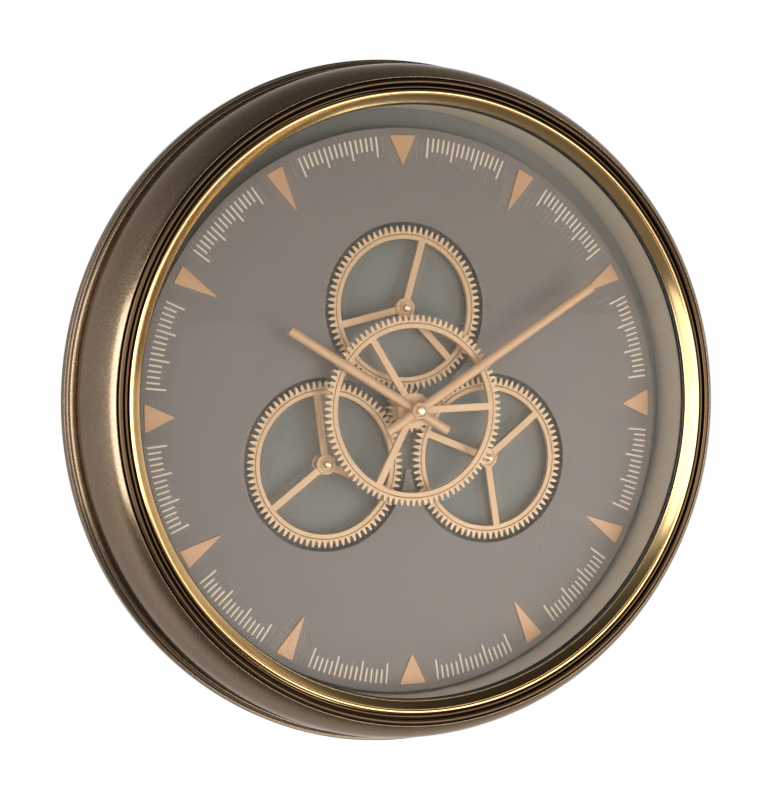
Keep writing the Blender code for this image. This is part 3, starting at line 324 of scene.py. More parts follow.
def bar(section, stations, centre, degrees):
    """A closed section of (across, distance) points carried along a direction of the dial. Each
    station is (reach, scale): the section drawn in by that scale round its own middle."""
    section = np.asarray(section, float)
    middle = np.array([0.0, (section[:, 1].min() + section[:, 1].max()) / 2])
    reach = np.array([s[0] for s in stations])[:, None]
    scale = np.array([s[1] for s in stations])[:, None, None]
    drawn = middle + scale * (section[None] - middle)
    return on_dial(drawn[..., 0], reach, drawn[..., 1], centre, degrees)


def spoke(inner, outer, rear, front, centre, degrees, width=4.8):
    """A flat spoke with softened edges, its ends inside the hub and the rim."""
    half = width / 2
    section = softened([(-half, rear), (half, rear), (half, front), (-half, front)], 0.25)
    return bar(section, [(inner, 0.0), (inner, 1.0), (outer, 1.0), (outer, 0.0)], centre, degrees)


def baton(length, tail, rear, degrees):
    """A hand: a low upright edge under half an ellipse, with square ends that are barely softened."""
    half = HAND_WIDTH / 2
    spring = rear + HAND_EDGE
    crown = arc((0.0, 0.0), 1.0, 0.0, 180.0, 28) * (half, HAND_THICKNESS - HAND_EDGE) + (0.0, spring)
    base = [(-half, rear + 0.1), (-half + 0.1, rear), (half - 0.1, rear), (half, rear + 0.1)]
    section = np.concatenate([crown, base])
    stations = [(-tail, 0.0), (-tail, 0.86), (-tail + 0.15, 0.95), (-tail + 0.45, 1.0)]
    stations += [(length - 0.45, 1.0), (length - 0.15, 0.95), (length, 0.86), (length, 0.0)]
    return bar(section, stations, DIAL, degrees)


def pointer(outer, tip, width, degrees, bevel=0.3):
    """An hour marker: a narrow triangle with round corners, c + (r - d) n, drawn in by d at each
    level, where c and n are the corner centres and the directions out from them."""
    corners = np.array([(-width / 2, outer), (0.0, tip), (width / 2, outer)])
    radius = np.array([0.8, 0.38, 0.8])
    back = np.roll(corners, 1, 0) - corners
    ahead = np.roll(corners, -1, 0) - corners
    back /= np.linalg.norm(back, axis=1)[:, None]
    ahead /= np.linalg.norm(ahead, axis=1)[:, None]
    half = np.arccos(np.clip((back * ahead).sum(1), -1, 1)) / 2
    inward = (back + ahead) / np.linalg.norm(back + ahead, axis=1)[:, None]
    centres = corners + inward * (radius / np.sin(half))[:, None]
    start = corners + back * (radius / np.tan(half))[:, None] - centres
    end = corners + ahead * (radius / np.tan(half))[:, None] - centres
    steps = 7
    s = np.linspace(0.0, 1.0, steps)[None, :, None]
    out = (1 - s) * start[:, None] + s * end[:, None]
    out = (out / np.linalg.norm(out, axis=2)[..., None]).reshape(-1, 2)
    middle = np.repeat(centres, steps, axis=0)
    front = MARKER_REAR + MARKER_THICKNESS
    levels = [
        (0.0, MARKER_REAR), (0.0, front - bevel), (0.35 * bevel, front - 0.25 * bevel), (bevel, front),
    ]
    rounding = np.repeat(radius, steps)[:, None]
    rings = [(middle + (rounding - d) * out, w) for d, w in levels]
    centroid = np.broadcast_to(corners.mean(0), middle.shape)
    rings = [(centroid, MARKER_REAR), *rings, (centroid, front)]
    flat = np.stack([r for r, _ in rings], 1)
    distance = np.array([w for _, w in rings])
    return on_dial(flat[..., 0], flat[..., 1], distance, DIAL, degrees)


def lying(profile, centre, steps=SMALL_STEPS):
    """A profile of (radius, place along X) turned round a level axis through the centre."""
    profile = np.asarray(profile, float)
    turn = np.linspace(0.0, 2 * np.pi, steps, endpoint=False)[:, None]
    radius = profile[None, :, 0]
    across = np.broadcast_to(centre[0] + profile[None, :, 1], (steps, len(profile)))
    return np.stack([across, centre[1] + radius * np.cos(turn), centre[2] + radius * np.sin(turn)], -1)


# Finishes

def feed(made, node, inputs):
    """Sets each input of a node to a plain value, or links it to another node's output."""
    for socket, value in inputs.items():
        if hasattr(value, "is_linked"):
            made.node_tree.links.new(value, node.inputs[socket])
        else:
            node.inputs[socket].default_value = value


def new_node(made, kind, inputs):
    """A node of a material or of the world, with its inputs set or linked."""
    node = made.node_tree.nodes.new(f"ShaderNode{kind}")
    feed(made, node, inputs)
    return node


def into(made, output, socket):
    """Feeds a value to a socket of the material's shader."""
    feed(made, made.node_tree.nodes["Principled BSDF"], {socket: output})


def new_material(name, colour, roughness, metallic=0.0, **sockets):
    """A Principled material with its plain values on the shader's own sockets."""
    made = bpy.data.materials.new(name)
    made.use_nodes = True
    values = {"Base Color": (*colour, 1.0), "Roughness": roughness, "Metallic": metallic, **sockets}
    feed(made, made.node_tree.nodes["Principled BSDF"], values)
    return made


def pattern(made, size, detail):
    """A noise over the object's own coordinates whose grains are about this many millimetres."""
    place = new_node(made, "TexCoord", {}).outputs["Object"]
    inputs = {"Vector": place, "Scale": 1.0 / (size * MM), "Detail": detail}
    return new_node(made, "TexNoise", inputs).outputs["Fac"]


def ramp(made, value, stops):
    """A colour for each (place, colour) stop of a value, blended between them."""
    node = new_node(made, "ValToRGB", {"Fac": value})
    elements = node.color_ramp.elements
    while len(elements) < len(stops):
        elements.new(0.5)
    for element, (place, colour) in zip(elements, stops):
        element.position = place
        element.color = (*colour, 1.0)
    return node.outputs["Color"]


def spread(made, value, low, high, start=0.3, end=0.7):
    """A value taken from the range start to end into low to high."""
    inputs = {"Value": value, "From Min": start, "From Max": end, "To Min": low, "To Max": high}
    return new_node(made, "MapRange", inputs).outputs["Result"]


def bumped(made, value, depth, strength):
    """Fine relief of this depth in millimetres."""
    inputs = {"Height": value, "Distance": depth * MM, "Strength": strength}
    into(made, new_node(made, "Bump", inputs).outputs["Normal"], "Normal")


def attribute(made, name):
    """A value that the mesh carries at its points."""
    node = new_node(made, "Attribute", {})
    node.attribute_name = name
    return node.outputs["Fac"]


def joined(made, operation, *values):
    """Values taken together by a step of arithmetic."""
    node = made.node_tree.nodes.new("ShaderNodeMath")
    node.operation = operation
    feed(made, node, dict(enumerate(values)))
    return node.outputs["Value"]


def blended(made, factor, one, two):
    """One shader where the factor is 0 and the other where it is 1."""
    return new_node(made, "MixShader", {0: factor, 1: one, 2: two}).outputs["Shader"]


def mixed(made, factor, one, two):
    """One colour where the factor is 0 and the other where it is 1."""
    node = made.node_tree.nodes.new("ShaderNodeMix")
    node.data_type = "RGBA"
    one, two = (c if hasattr(c, "is_linked") else (*c, 1.0) for c in (one, two))
    feed(made, node, {0: factor, 6: one, 7: two})
    return node.outputs[2]


def grained(name, colour, size, roughness, metallic=0.0, contrast=0.08, depth=0.02, strength=0.35,
            marks=()):
    """A finish a little darker and lighter than its colour over grains of this size, with a fine
    relief, which gives way to another colour by each (attribute, colour) of its marks."""
    dark = tuple(c * (1 - contrast) for c in colour)
    light = tuple(c * (1 + contrast) for c in colour)
    made = new_material(name, colour, sum(roughness) / 2, metallic)
    broad = pattern(made, 40.0 * size, 2.0)
    fine = pattern(made, size, 4.0)
    blend = joined(made, "MULTIPLY_ADD", broad, 0.5, spread(made, fine, 0.0, 0.5, 0.2, 0.8))
    colour = ramp(made, blend, [(0.3, dark), (0.7, light)])
    for mark, other in marks:
        colour = mixed(made, attribute(made, mark), colour, other)
    into(made, colour, "Base Color")
    into(made, spread(made, fine, *roughness), "Roughness")
    bumped(made, fine, depth, strength)
    return made


def case_lacquer():
    """Dark bronze lacquer with gold flakes under a clear coat. A painted sheen makes it paler beside
    the front edge and on the rear ring's bead; painted shade makes the mouth's beads browner and the
    grooves near black, and the same black is the board at the ring's back and inside."""
    sockets = {
        "Coat Weight": 0.3, "Coat Roughness": 0.07, "Coat IOR": 1.5,
        "Specular Tint": (0.4, 0.34, 0.28, 1.0),
    }
    made = new_material("case_lacquer", (0.13, 0.09, 0.06), 0.3, 0.9, **sockets)
    flakes = pattern(made, 0.55, 2.0)
    clouds = pattern(made, 45.0, 2.0)
    ground = ramp(made, clouds, [(0.3, (0.135, 0.100, 0.072)), (0.7, (0.165, 0.122, 0.086))])
    flecks = ramp(made, flakes, [(0.50, (0.0, 0.0, 0.0)), (0.72, (1.0, 1.0, 1.0))])
    metal = mixed(made, flecks, ground, (0.36, 0.23, 0.13))
    # Painted sheen: paler flakes towards the front edge and on the rear ring's bead.
    painted_sheen = mixed(made, flecks, (0.22, 0.16, 0.105), (0.55, 0.38, 0.22))
    metal = mixed(made, attribute(made, "sheen_share"), metal, painted_sheen)
    # Painted shade: the groove attribute makes the mouth's beads browner and the grooves near black,
    # with less coat and shine; on the rear ring it is the board's own black.
    groove = attribute(made, "groove")
    beads = spread(made, groove, 0.0, 1.0, 0.0, MOUTH_SHADE)
    metal = mixed(made, beads, metal, (0.100, 0.062, 0.032))
    painted_shade_and_black = spread(made, groove, 0.0, 1.0, MOUTH_SHADE, 1.0)
    into(made, mixed(made, painted_shade_and_black, metal, (0.014, 0.008, 0.005)), "Base Color")
    into(made, spread(made, groove, 0.3, 0.0, 0.0, 0.6), "Coat Weight")
    into(made, spread(made, groove, 0.45, 0.1, 0.3, 1.0), "Specular IOR Level")
    into(made, spread(made, flakes, 0.18, 0.28), "Roughness")
    bumped(made, flakes, 0.008, 0.2)
    return made


def clear_glass():
    """Float glass: nearly clear face on, with its shine rising towards a grazing view."""
    made = new_material(
        "clear_glass", (0.95, 0.975, 0.965), 0.02, 0.0,
        **{"Transmission Weight": 1.0, "IOR": 1.45},
    )
    facing = new_node(made, "LayerWeight", {"Blend": 0.25}).outputs["Fresnel"]
    into(made, spread(made, facing, 0.06, 0.6, 0.0, 1.0), "Alpha")
    return made


def cell_jacket():
    """A shrunk sleeve with a bright band at the tip end and bare metal beyond its ends."""
    made = new_material("cell_jacket", (0.05, 0.20, 0.12), 0.32, 0.1, **{"Coat Weight": 0.5})
    band = attribute(made, "band")
    colour = ramp(made, band, [(0.0, (0.045, 0.19, 0.11)), (0.62, (0.05, 0.21, 0.12))])
    gold = ramp(made, band, [(0.69, (0.0, 0.0, 0.0)), (0.70, (1.0, 1.0, 1.0))])
    fine = pattern(made, 0.8, 3.0)
    sleeve = mixed(made, gold, colour, (0.62, 0.40, 0.16))
    metal = ramp(made, band, [(0.94, (0.0, 0.0, 0.0)), (0.95, (1.0, 1.0, 1.0))])
    into(made, mixed(made, metal, sleeve, (0.62, 0.62, 0.60)), "Base Color")
    into(made, metal, "Metallic")
    into(made, spread(made, fine, 0.26, 0.40), "Roughness")
    bumped(made, fine, 0.01, 0.2)
    return made


FINISHES = {
    "gear gold": grained(
        "gear_gold", (0.64, 0.420, 0.240), 0.9, (0.36, 0.48), 0.25, 0.03, depth=0.004,
        # tooth: painted highlight towards the tips; line: painted shade in the face's groove
        marks=[("tooth", (0.74, 0.56, 0.37)), ("line", (0.20, 0.125, 0.07))],
    ),
    "hand gold": grained("hand_gold", (0.605, 0.378, 0.215), 0.7, (0.4, 0.5), 0.3, 0.03, depth=0.003),
    "pale gold": grained("pale_gold", (0.90, 0.76, 0.56), 0.5, (0.22, 0.30), 0.6, 0.03, depth=0.002),
    "bezel gold": grained(
        "bezel_gold", (0.88, 0.615, 0.30), 1.4, (0.13, 0.18), 1.0, 0.03, depth=0.001, strength=0.15,
    ),
    "case lacquer": case_lacquer(),
    "disc paint": grained(
        "disc_paint", (0.206, 0.199, 0.172), 0.6, (0.55, 0.7), contrast=0.06, depth=0.03,
    ),
    "wall paint": grained("wall_paint", (0.60, 0.505, 0.39), 0.6, (0.40, 0.52), contrast=0.05),
    "dial paint": grained("dial_paint", (0.212, 0.178, 0.152), 0.5, (0.46, 0.6), contrast=0.05),
    "marker tan": grained(
        "marker_tan", (0.585, 0.345, 0.188), 0.4, (0.34, 0.46), 0.2, 0.04, depth=0.004,
    ),
    "tick ink": grained("tick_ink", (0.80, 0.66, 0.50), 0.3, (0.5, 0.6), contrast=0.04),
    "brass": grained("turned_brass", (0.70, 0.52, 0.26), 0.4, (0.2, 0.32), 1.0, 0.06, depth=0.004),
    "steel": grained("zinc_steel", (0.56, 0.56, 0.55), 0.7, (0.25, 0.4), 1.0, 0.1, depth=0.005),
    "black plastic": grained(
        "black_plastic", (0.024, 0.024, 0.025), 0.25, (0.42, 0.55), contrast=0.2, depth=0.02,
    ),
    "white plastic": grained(
        "white_plastic", (0.76, 0.75, 0.71), 0.3, (0.32, 0.42), contrast=0.03, depth=0.01,
    ),
    # black for the rings of painted shade at the glass's edge
    "edge shade black": grained("edge_shade_black", (0.012, 0.011, 0.010), 0.4, (0.6, 0.75), contrast=0.2),
    "glass": clear_glass(),
    "cell": cell_jacket(),
}


# Case

def case_profile():
    """The spun shell from its mouth outwards: two beads with grooves between them, the bullnose
    body as a quarter ellipse and a bit, and the foot turned in behind."""
    floor = BODY_EDGE - GROOVE_DEEP
    body_first, body_last = math.radians(-18.8), math.radians(64.8)
    half_deep = (BODY_EDGE - SHELL_REAR) / (math.sin(body_last) - math.sin(body_first))
    middle = SHELL_REAR - half_deep * math.sin(body_first)
    t = np.linspace(body_last, body_first, 72)
    swell = BODY_EDGE_RADIUS + BULGE * (np.cos(t) - math.cos(body_last))
    body = np.stack([swell, middle + half_deep * np.sin(t)], -1)
    mouth = ended([(206.2, LIP_REAR), (206.2, floor), (206.7, floor)], 0.1)
    inner_bead = arc((207.75, 64.1), 0.9, 215.0, -35.0, 14)
    outer_bead = arc((211.4, 64.78), 1.55, 215.0, -35.0, 22)
    edge = arc((214.27, 64.16), 0.5, 180.0, 50.0, 8)
    foot_front = SHELL_REAR + 1.6
    foot = [(225.0, SHELL_REAR), (215.0, SHELL_REAR), (215.0, foot_front), (222.0, foot_front)]
    return np.concatenate([
        mouth, inner_bead, [(208.85, floor), (209.7, floor)], outer_bead,
        [(213.05, floor), (213.5, floor)], edge, body[2:], foot, [(SEAT_RADIUS, LIP_REAR)],
    ])


def cut_away(obj, low, high):
    """Takes the box between two corners, in millimetres, out of a piece."""
    low, high = np.array(low) * MM, np.array(high) * MM
    place = Matrix.LocRotScale(Vector((low + high) / 2), None, Vector(high - low))
    tool = bmesh.new()
    bmesh.ops.create_cube(tool, size=1.0, matrix=place)
    mesh = bpy.data.meshes.new("cutter")
    tool.to_mesh(mesh)
    tool.free()
    cutter = bpy.data.objects.new("cutter", mesh)
    bpy.context.scene.collection.objects.link(cutter)
    cut = obj.modifiers.new("Cut", "BOOLEAN")
    cut.operation, cut.solver, cut.object = "DIFFERENCE", "EXACT", cutter
    bpy.context.view_layer.update()
    done = bpy.data.meshes.new_from_object(obj.evaluated_get(bpy.context.evaluated_depsgraph_get()))
    done.name = obj.name
    obj.modifiers.clear()
    obj.data = done
    bpy.data.objects.remove(cutter)
    bpy.data.meshes.remove(mesh)


def make_case():
    """The shell, and the ring behind it with the hanger's recess and pocket cut in its back."""
    def painted_shade_and_black(r, w):
        """Painted shade: grows with the depth below the beads' crests, and is the beads' painted shade
        on them.
        """
        depth = (BODY_EDGE - 0.3 - w) / 0.8
        return np.maximum(MOUTH_SHADE, depth) * (r < MOUTH_RADIUS) * (w > MOUTH_REAR)

    def painted_sheen(r, w):
        """Painted sheen: grows towards the front edge of the body."""
        return np.clip((w - 48.0) / 15.0, 0.0, 1.0) ** 1.6 * (r > MOUTH_RADIUS)

    shell = spun("case_shell_fine", case_profile(), "case lacquer", ["case_shell"])
    shaded(shell, "groove", painted_shade_and_black)
    shaded(shell, "sheen_share", painted_sheen)

    flange = ended(
        [(RING_BORE, 0.0), (RING_RADIUS, 0.0), (RING_RADIUS, 7.5), (229.3, 7.5), (229.05, 10.0)],
        [0.0, 0.5, 0.6, 1.1, 0.0],
    )
    bead = arc((227.5, 11.1), 1.85, -35.0, 105.0, 18)
    seat = ended(
        [(226.0, 12.6), (SEAT_RADIUS, 12.9), (SEAT_RADIUS, SEAT_FRONT), (RING_BORE, SEAT_FRONT)], 0.2,
    )
    ring = spun("rear_ring_fine", np.concatenate([flange, bead, seat]), "case lacquer", ["rear_ring"])
    top, wide = CASE[1] + HANGER_MIDDLE, HANGER_HALF_WIDE
    cut_away(ring, (-wide, -1.5, top - HANGER_HALF_TALL), (wide, 1.0, top + HANGER_HALF_TALL))
    cut_away(ring, (-7.5, -9.0, CASE[1] + 206.0), (7.5, 0.5, CASE[1] + 225.0))
    ring.data.shade_smooth()
    ring.data.set_sharp_from_angle(angle=SHARP)
    # The ring's back and inside take the black of the board, not shade.
    shaded(ring, "groove", lambda r, w: np.maximum(r < 211.0, w < 0.3) + 0.0)
    # Painted highlight: the rear ring's bead is made paler.
    shaded(ring, "sheen_share", lambda r, w: 0.7 * (w > 11.0) * (r > 226.0))


def make_bezel():
    """The gold ring: a lip, a hollow bevel, a ridge line and a rounded land, then its flange.

    The hollow is start + size (s, 0.88 s + 0.12 s^2). The land's crest is part of an ellipse;
    outside it the surface keeps turning down to the edge.
    """
    lip = ended([(BEZEL_BORE, FLANGE_REAR), (BEZEL_BORE, 60.25), (197.95, 60.75)], 0.4)
    s = np.linspace(0.06, 0.985, 24)
    hollow = HOLLOW_START + HOLLOW_SIZE * np.stack([s, 0.88 * s + 0.12 * s**2], -1)
    ridge = ended([(203.0, 65.15), (203.15, 64.95), (203.3, 65.2)], 0.1)
    land = arc((0.0, 0.0), 1.0, 150.0, 8.0, 22) * LAND_HALF + LAND_MIDDLE
    outside = [(205.9, 64.2), (205.9, FLANGE_FRONT), (208.9, FLANGE_FRONT), (208.9, FLANGE_REAR)]
    profile = np.concatenate([lip, hollow, ridge, land, outside])
    spun("bezel_fine", profile, "bezel gold", ["bezel_ring"])


def make_well():
    """The wall round the dial, two black rings of painted shade at the glass's edge and inside the lip,
    and the glass with polished edges.
    """
    wall = ring_band(WALL_BORE, WALL_RADIUS, DISC_FRONT + GAP, GLASS_REAR - GAP)
    spun("wall_ring_fine", wall, "wall paint", ["wall_ring"])
    # Painted shade: black rings that darken the glass's edge and the bezel's lip.
    edge_shade_profile = [(197.6, 53.9), (198.0, 53.9), (198.0, 55.9), (196.9, 55.9), (196.9, 54.9)]
    spun("glass_edge_shade", softened(edge_shade_profile, 0.2), "edge shade black")
    lip_shade_profile = [(196.8, 58.6), (197.5, 58.6), (197.5, 60.2), (197.1, 60.2)]
    spun("lip_edge_shade", softened(lip_shade_profile, 0.15), "edge shade black")
    edge = [(GLASS_RADIUS, GLASS_REAR), (GLASS_RADIUS, GLASS_FRONT)]
    pane = ended([(0.0, GLASS_REAR), *edge, (0.0, GLASS_FRONT)], 0.25)
    piece("glass_pane", [turned(pane, CASE, 180)], "case", "glass", ["glass"], wrap=(True, False))


def trefoil(pieces=110, tip_pieces=7):
    """The cut-out's edge: three lobes about the outer gears' centres, joined by short arcs where
    their edges come nearest. Returned as (radius, angle) about the centre."""
    lobe, reach, tip = DIAL_LOBE, GEAR_CIRCLE, DIAL_TIP
    half = math.degrees(math.acos((reach**2 + tip**2 - lobe**2) / (2 * reach * tip)))
    corner = np.array(polar(tip, half)) - (0.0, reach)
    first = math.degrees(math.atan2(corner[1], corner[0]))
    edge = arc((0.0, reach), lobe, 180.0 - first, first, pieces)
    radius = np.hypot(edge[:, 0], edge[:, 1])
    angle = np.degrees(np.arctan2(edge[:, 0], edge[:, 1]))
    between = np.linspace(half, 120.0 - half, tip_pieces + 1)[1:-1]
    radius = np.concatenate([radius, np.full(len(between), tip)])
    angle = np.concatenate([angle, between])
    return np.tile(radius, 3), np.concatenate([angle + 120.0 * k for k in range(3)])


def make_dial():
    """The dial plate as a ring whose inner edge follows the trefoil."""
    inner, angle = trefoil()
    outer, bevelled = np.full_like(inner, DIAL_RADIUS), DIAL_FRONT - DIAL_BEVEL
    plate = following([
        (inner, DIAL_REAR), (outer, DIAL_REAR), (outer, bevelled),
        (outer - DIAL_BEVEL, DIAL_FRONT), (inner + DIAL_BEVEL, DIAL_FRONT), (inner, bevelled),
    ], angle)
    piece("dial_plate_fine", [plate], "case", "dial paint", ["dial_plate"])
    paint_node("rear_disc", "disc paint")


def make_markers():
    """Twelve pointers, and the printed ticks between them: flat bars with round ends."""
    hours = range(1, 13)
    grids = []
    for hour in hours:
        length, width = QUARTER_MARKER if hour % 3 == 0 else HOUR_MARKER
        grids.append(pointer(MARKER_OUTER, MARKER_OUTER - length, width, 30.0 * hour))
    nodes = [f"hour_marker_{hour:02d}" for hour in hours]
    piece("hour_markers_fine", grids, "case", "marker tan", nodes, wrap=(True, False))

    far_end = arc((0.0, 0.0), TICK_HALF, 0.0, 180.0, 4)
    near_end = arc((0.0, 0.0), TICK_HALF, 180.0, 360.0, 4)
    caps = np.concatenate([far_end, near_end])
    far = np.repeat([1.0, 0.0], 5)
    outer = TICK_OUTER - TICK_HALF
    levels = DIAL_FRONT + np.array([0.0, 0.0, TICK_RISE, TICK_RISE])
    ticks = []
    for number in range(12 * TICKS_AN_HOUR):
        hour, k = divmod(number, TICKS_AN_HOUR)
        inner = (LONG_TICK_INNER if k % 5 == 0 else SHORT_TICK_INNER) + TICK_HALF
        flat = np.stack([caps[:, 0], caps[:, 1] + inner + (outer - inner) * far], -1)
        middle = np.broadcast_to([0.0, (inner + outer) / 2], flat.shape)
        rows = np.stack([middle, flat, flat, middle], 1)
        turn = 30.0 * hour + TICK_FIRST + TICK_APART * k
        ticks.append(on_dial(rows[..., 0], rows[..., 1], levels, DIAL, turn))
    piece("minute_ticks", ticks, "case", "tick ink", soft=False, wrap=(True, False))


# Gears

def three_spokes(inner, outer, rear, front, centre, first):
    """Three spokes that lie a hair inside their wheel's faces."""
    return [spoke(inner, outer, rear + 0.02, front - 0.02, centre, first + 120.0 * k) for k in range(3)]


def make_outer_gears():
    """Each outer gear's toothed rim, three spokes and stepped hub, with its post and clip. The
    upper one is driven, so its post is an arbor, and arbor and clip turn with it."""
    rear, front = OUTER_REAR, OUTER_FRONT
    hub = softened([
        (POST_BORE, GEAR_BACK), (HUB_RADIUS, GEAR_BACK), (HUB_RADIUS, HUB_FRONT),
        (HUB_DISH_RADIUS, HUB_FRONT), (HUB_DISH_RADIUS, HUB_DISH), (POST_BORE, HUB_DISH),
    ], 0.22)
    clip = ring_band(POST_BORE, CLIP_RADIUS, CLIP_REAR, CLIP_FRONT, 0.15)
    foot, foot_front, shoulder = DISC_FRONT + GAP, POST_FOOT_FRONT, GEAR_BACK - GAP
    post_foot = [
        (0.0, foot), (POST_FOOT_RADIUS, foot), (POST_FOOT_RADIUS, foot_front),
        (SHOULDER_RADIUS, foot_front),
    ]
    arbor_foot = [
        (0.0, ARBOR_REAR), (POST_RADIUS, ARBOR_REAR), (POST_RADIUS, foot), (SHOULDER_RADIUS, foot),
    ]
    neck = [(SHOULDER_RADIUS, shoulder), (POST_RADIUS, shoulder)]
    tip = arc((0.0, 0.0), 1.0, 0.0, 90.0, 8) * (POST_RADIUS, POST_TIP_RISE) + (0.0, POST_TIP_REAR)
    for name, (direction, phase, first_spoke) in OUTER_GEARS.items():
        across, up = polar(GEAR_CIRCLE, direction)
        centre = (DIAL[0] + across, DIAL[1] + up)
        gear, driven = f"{name}_gear", name == "upper"
        edge = toothed_edge(OUTER_TEETH, OUTER_TIP, OUTER_ROOT, OUTER_FLANK, phase)
        rim = toothed_ring(edge, OUTER_INNER, OUTER_GROOVE, rear, front, centre)
        wheel = piece(f"{gear}_fine", [rim], gear, "gear gold", [gear])
        shade_teeth(wheel, centre, OUTER_ROOT, OUTER_TIP, front)
        spokes = three_spokes(5.0, OUTER_INNER + 0.3, rear, front, centre, first_spoke)
        piece(f"{gear}_spokes", spokes, gear, "gear gold", wrap=(False, True))
        piece(f"{gear}_hub", [turned(hub, centre)], gear, "gear gold")
        post = np.concatenate([ended((arbor_foot if driven else post_foot) + neck, 0.2), tip])
        node, carrier = (f"{gear}_arbor", gear) if driven else (f"{gear}_post", "case")
        piece(f"{node}_fine", [turned(post, centre)], carrier, "pale gold", [node], wrap=(True, False))
        piece(f"{gear}_clip_fine", [turned(clip, centre)], carrier, "gear gold", [f"{gear}_clip"])


def make_centre_gears():
    """The pinion with its sleeve, and the large gear in front with its hub."""
    body, rear, front = "centre_gears", CENTRE_REAR, CENTRE_FRONT
    edge = toothed_edge(PINION_TEETH, PINION_TIP, PINION_ROOT, PINION_FLANK, PINION_PHASE)
    pinion = toothed_ring(edge, PINION_INNER, 0.0, OUTER_REAR, PINION_FRONT, DIAL)
    wheel = piece("centre_pinion_fine", [pinion], body, "gear gold", ["centre_pinion"])
    shade_teeth(wheel, DIAL, PINION_ROOT, PINION_TIP, PINION_FRONT)
    bore, seat = BUSH_RADIUS + GAP, rear - GAP
    sleeve = [
        (bore, GEAR_BACK), (SLEEVE_RADIUS, GEAR_BACK), (SLEEVE_RADIUS, seat),
        (SLEEVE_NECK_RADIUS, seat), (SLEEVE_NECK_RADIUS, front), (bore, front),
    ]
    piece("centre_sleeve_fine", [turned(softened(sleeve, 0.2))], body, "gear gold")
    edge = toothed_edge(CENTRE_TEETH, CENTRE_TIP, CENTRE_ROOT, OUTER_FLANK, CENTRE_PHASE)
    rim = toothed_ring(edge, CENTRE_INNER, CENTRE_GROOVE, rear, front, DIAL)
    wheel = piece("centre_gear_fine", [rim], body, "gear gold", ["centre_gear"])
    shade_teeth(wheel, DIAL, CENTRE_ROOT, CENTRE_TIP, front)
    spokes = three_spokes(9.5, CENTRE_INNER + 0.3, rear, front, DIAL, CENTRE_SPOKE)
    piece("centre_gear_spokes", spokes, body, "gear gold", wrap=(False, True))
    hub = [
        (5.8, 38.3), (11.8, 38.3), (11.8, 41.5), (8.8, 41.5), (8.8, 42.3), (7.2, 42.3), (7.2, 41.5),
        (5.8, 41.5),
    ]
    piece("centre_gear_hub", [turned(softened(hub, 0.22))], body, "gear gold")


def make_centre_stack():
    """The bush with its washer and retainer, the tube and the shaft."""
    for node, inner, outer, rear, front, body, finish in (
        ("movement_bush", 2.9, 4.0, 18.0, 43.3, "case", "brass"),
        ("thrust_washer", 4.3, 7.0, 23.6, 24.7, "case", "steel"),
        ("gear_retainer", 4.3, 6.4, 41.8, 43.3, "case", "gear gold"),
        ("hour_tube", 1.3, 2.6, 13.7, 46.5, "hour_hand", "hand gold"),
    ):
        piece(f"{node}_fine", [turned(ring_band(inner, outer, rear, front))], body, finish, [node])
    shaft = ended([(0.0, 13.7), (1.0, 13.7), (1.0, 50.7), (0.0, 50.7)], 0.1)
    grid = turned(shaft, steps=24)
    piece("minute_shaft_fine", [grid], "minute_hand", "steel", ["minute_shaft"], wrap=(True, False))


def make_hands():
    """Two half-round batons, each with a boss round its bore, and the nut with its domed pin."""
    for name, length, rear, degrees in (
        ("hour_hand", HOUR_HAND_LONG, HOUR_REAR, HOUR_HAND_TURN),
        ("minute_hand", MINUTE_HAND_LONG, MINUTE_REAR, MINUTE_HAND_TURN),
    ):
        hand = baton(length, HAND_TAIL, rear, degrees)
        piece(f"{name}_fine", [hand], name, "hand gold", [name], wrap=(False, True))
        boss = ring_band(HAND_BORE, HAND_BOSS, rear, rear + HAND_THICKNESS, 0.4)
        piece(f"{name}_boss", [turned(boss)], name, "hand gold")
    ring = softened(
        [(HAND_BORE, 49.9), (5.4, 49.9), (5.4, 51.3), (4.1, 51.3), (3.8, 50.2), (HAND_BORE, 50.2)], 0.3,
    )
    piece("hand_nut_fine", [turned(ring)], "minute_hand", "hand gold", ["hand_nut"])
    radius, rise = 2.6, 0.8
    cap = arc((0.0, 0.0), 1.0, 0.0, 90.0, 10) * (radius, rise) + (0.0, 53.4)
    dome = np.concatenate([[(0.0, 50.0), (radius, 50.0)], cap])
    piece("hand_nut_dome", [turned(dome)], "minute_hand", "pale gold", wrap=(True, False))


# Back of the clock

def from_solid(name, node, body, finish, width=0.35):
    """A copy of a solid, merged, with its edges rounded to this width."""
    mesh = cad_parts[node].data.copy()
    mesh.name = name
    shape = bmesh.new()
    shape.from_mesh(mesh)
    bmesh.ops.remove_doubles(shape, verts=shape.verts, dist=1e-6)
    bmesh.ops.dissolve_limit(shape, angle_limit=math.radians(1.0), verts=shape.verts, edges=shape.edges)
    shape.to_mesh(mesh)
    shape.free()
    obj = dressed(name, mesh, body, finish, [node], soft=False)
    rounding = obj.modifiers.new("Edges", "BEVEL")
    rounding.width = width * MM
    rounding.segments = 2
    rounding.limit_method = "ANGLE"
    rounding.angle_limit = SMALLEST_ROUNDED
    mesh.shade_smooth()
    shade_evenly(obj)


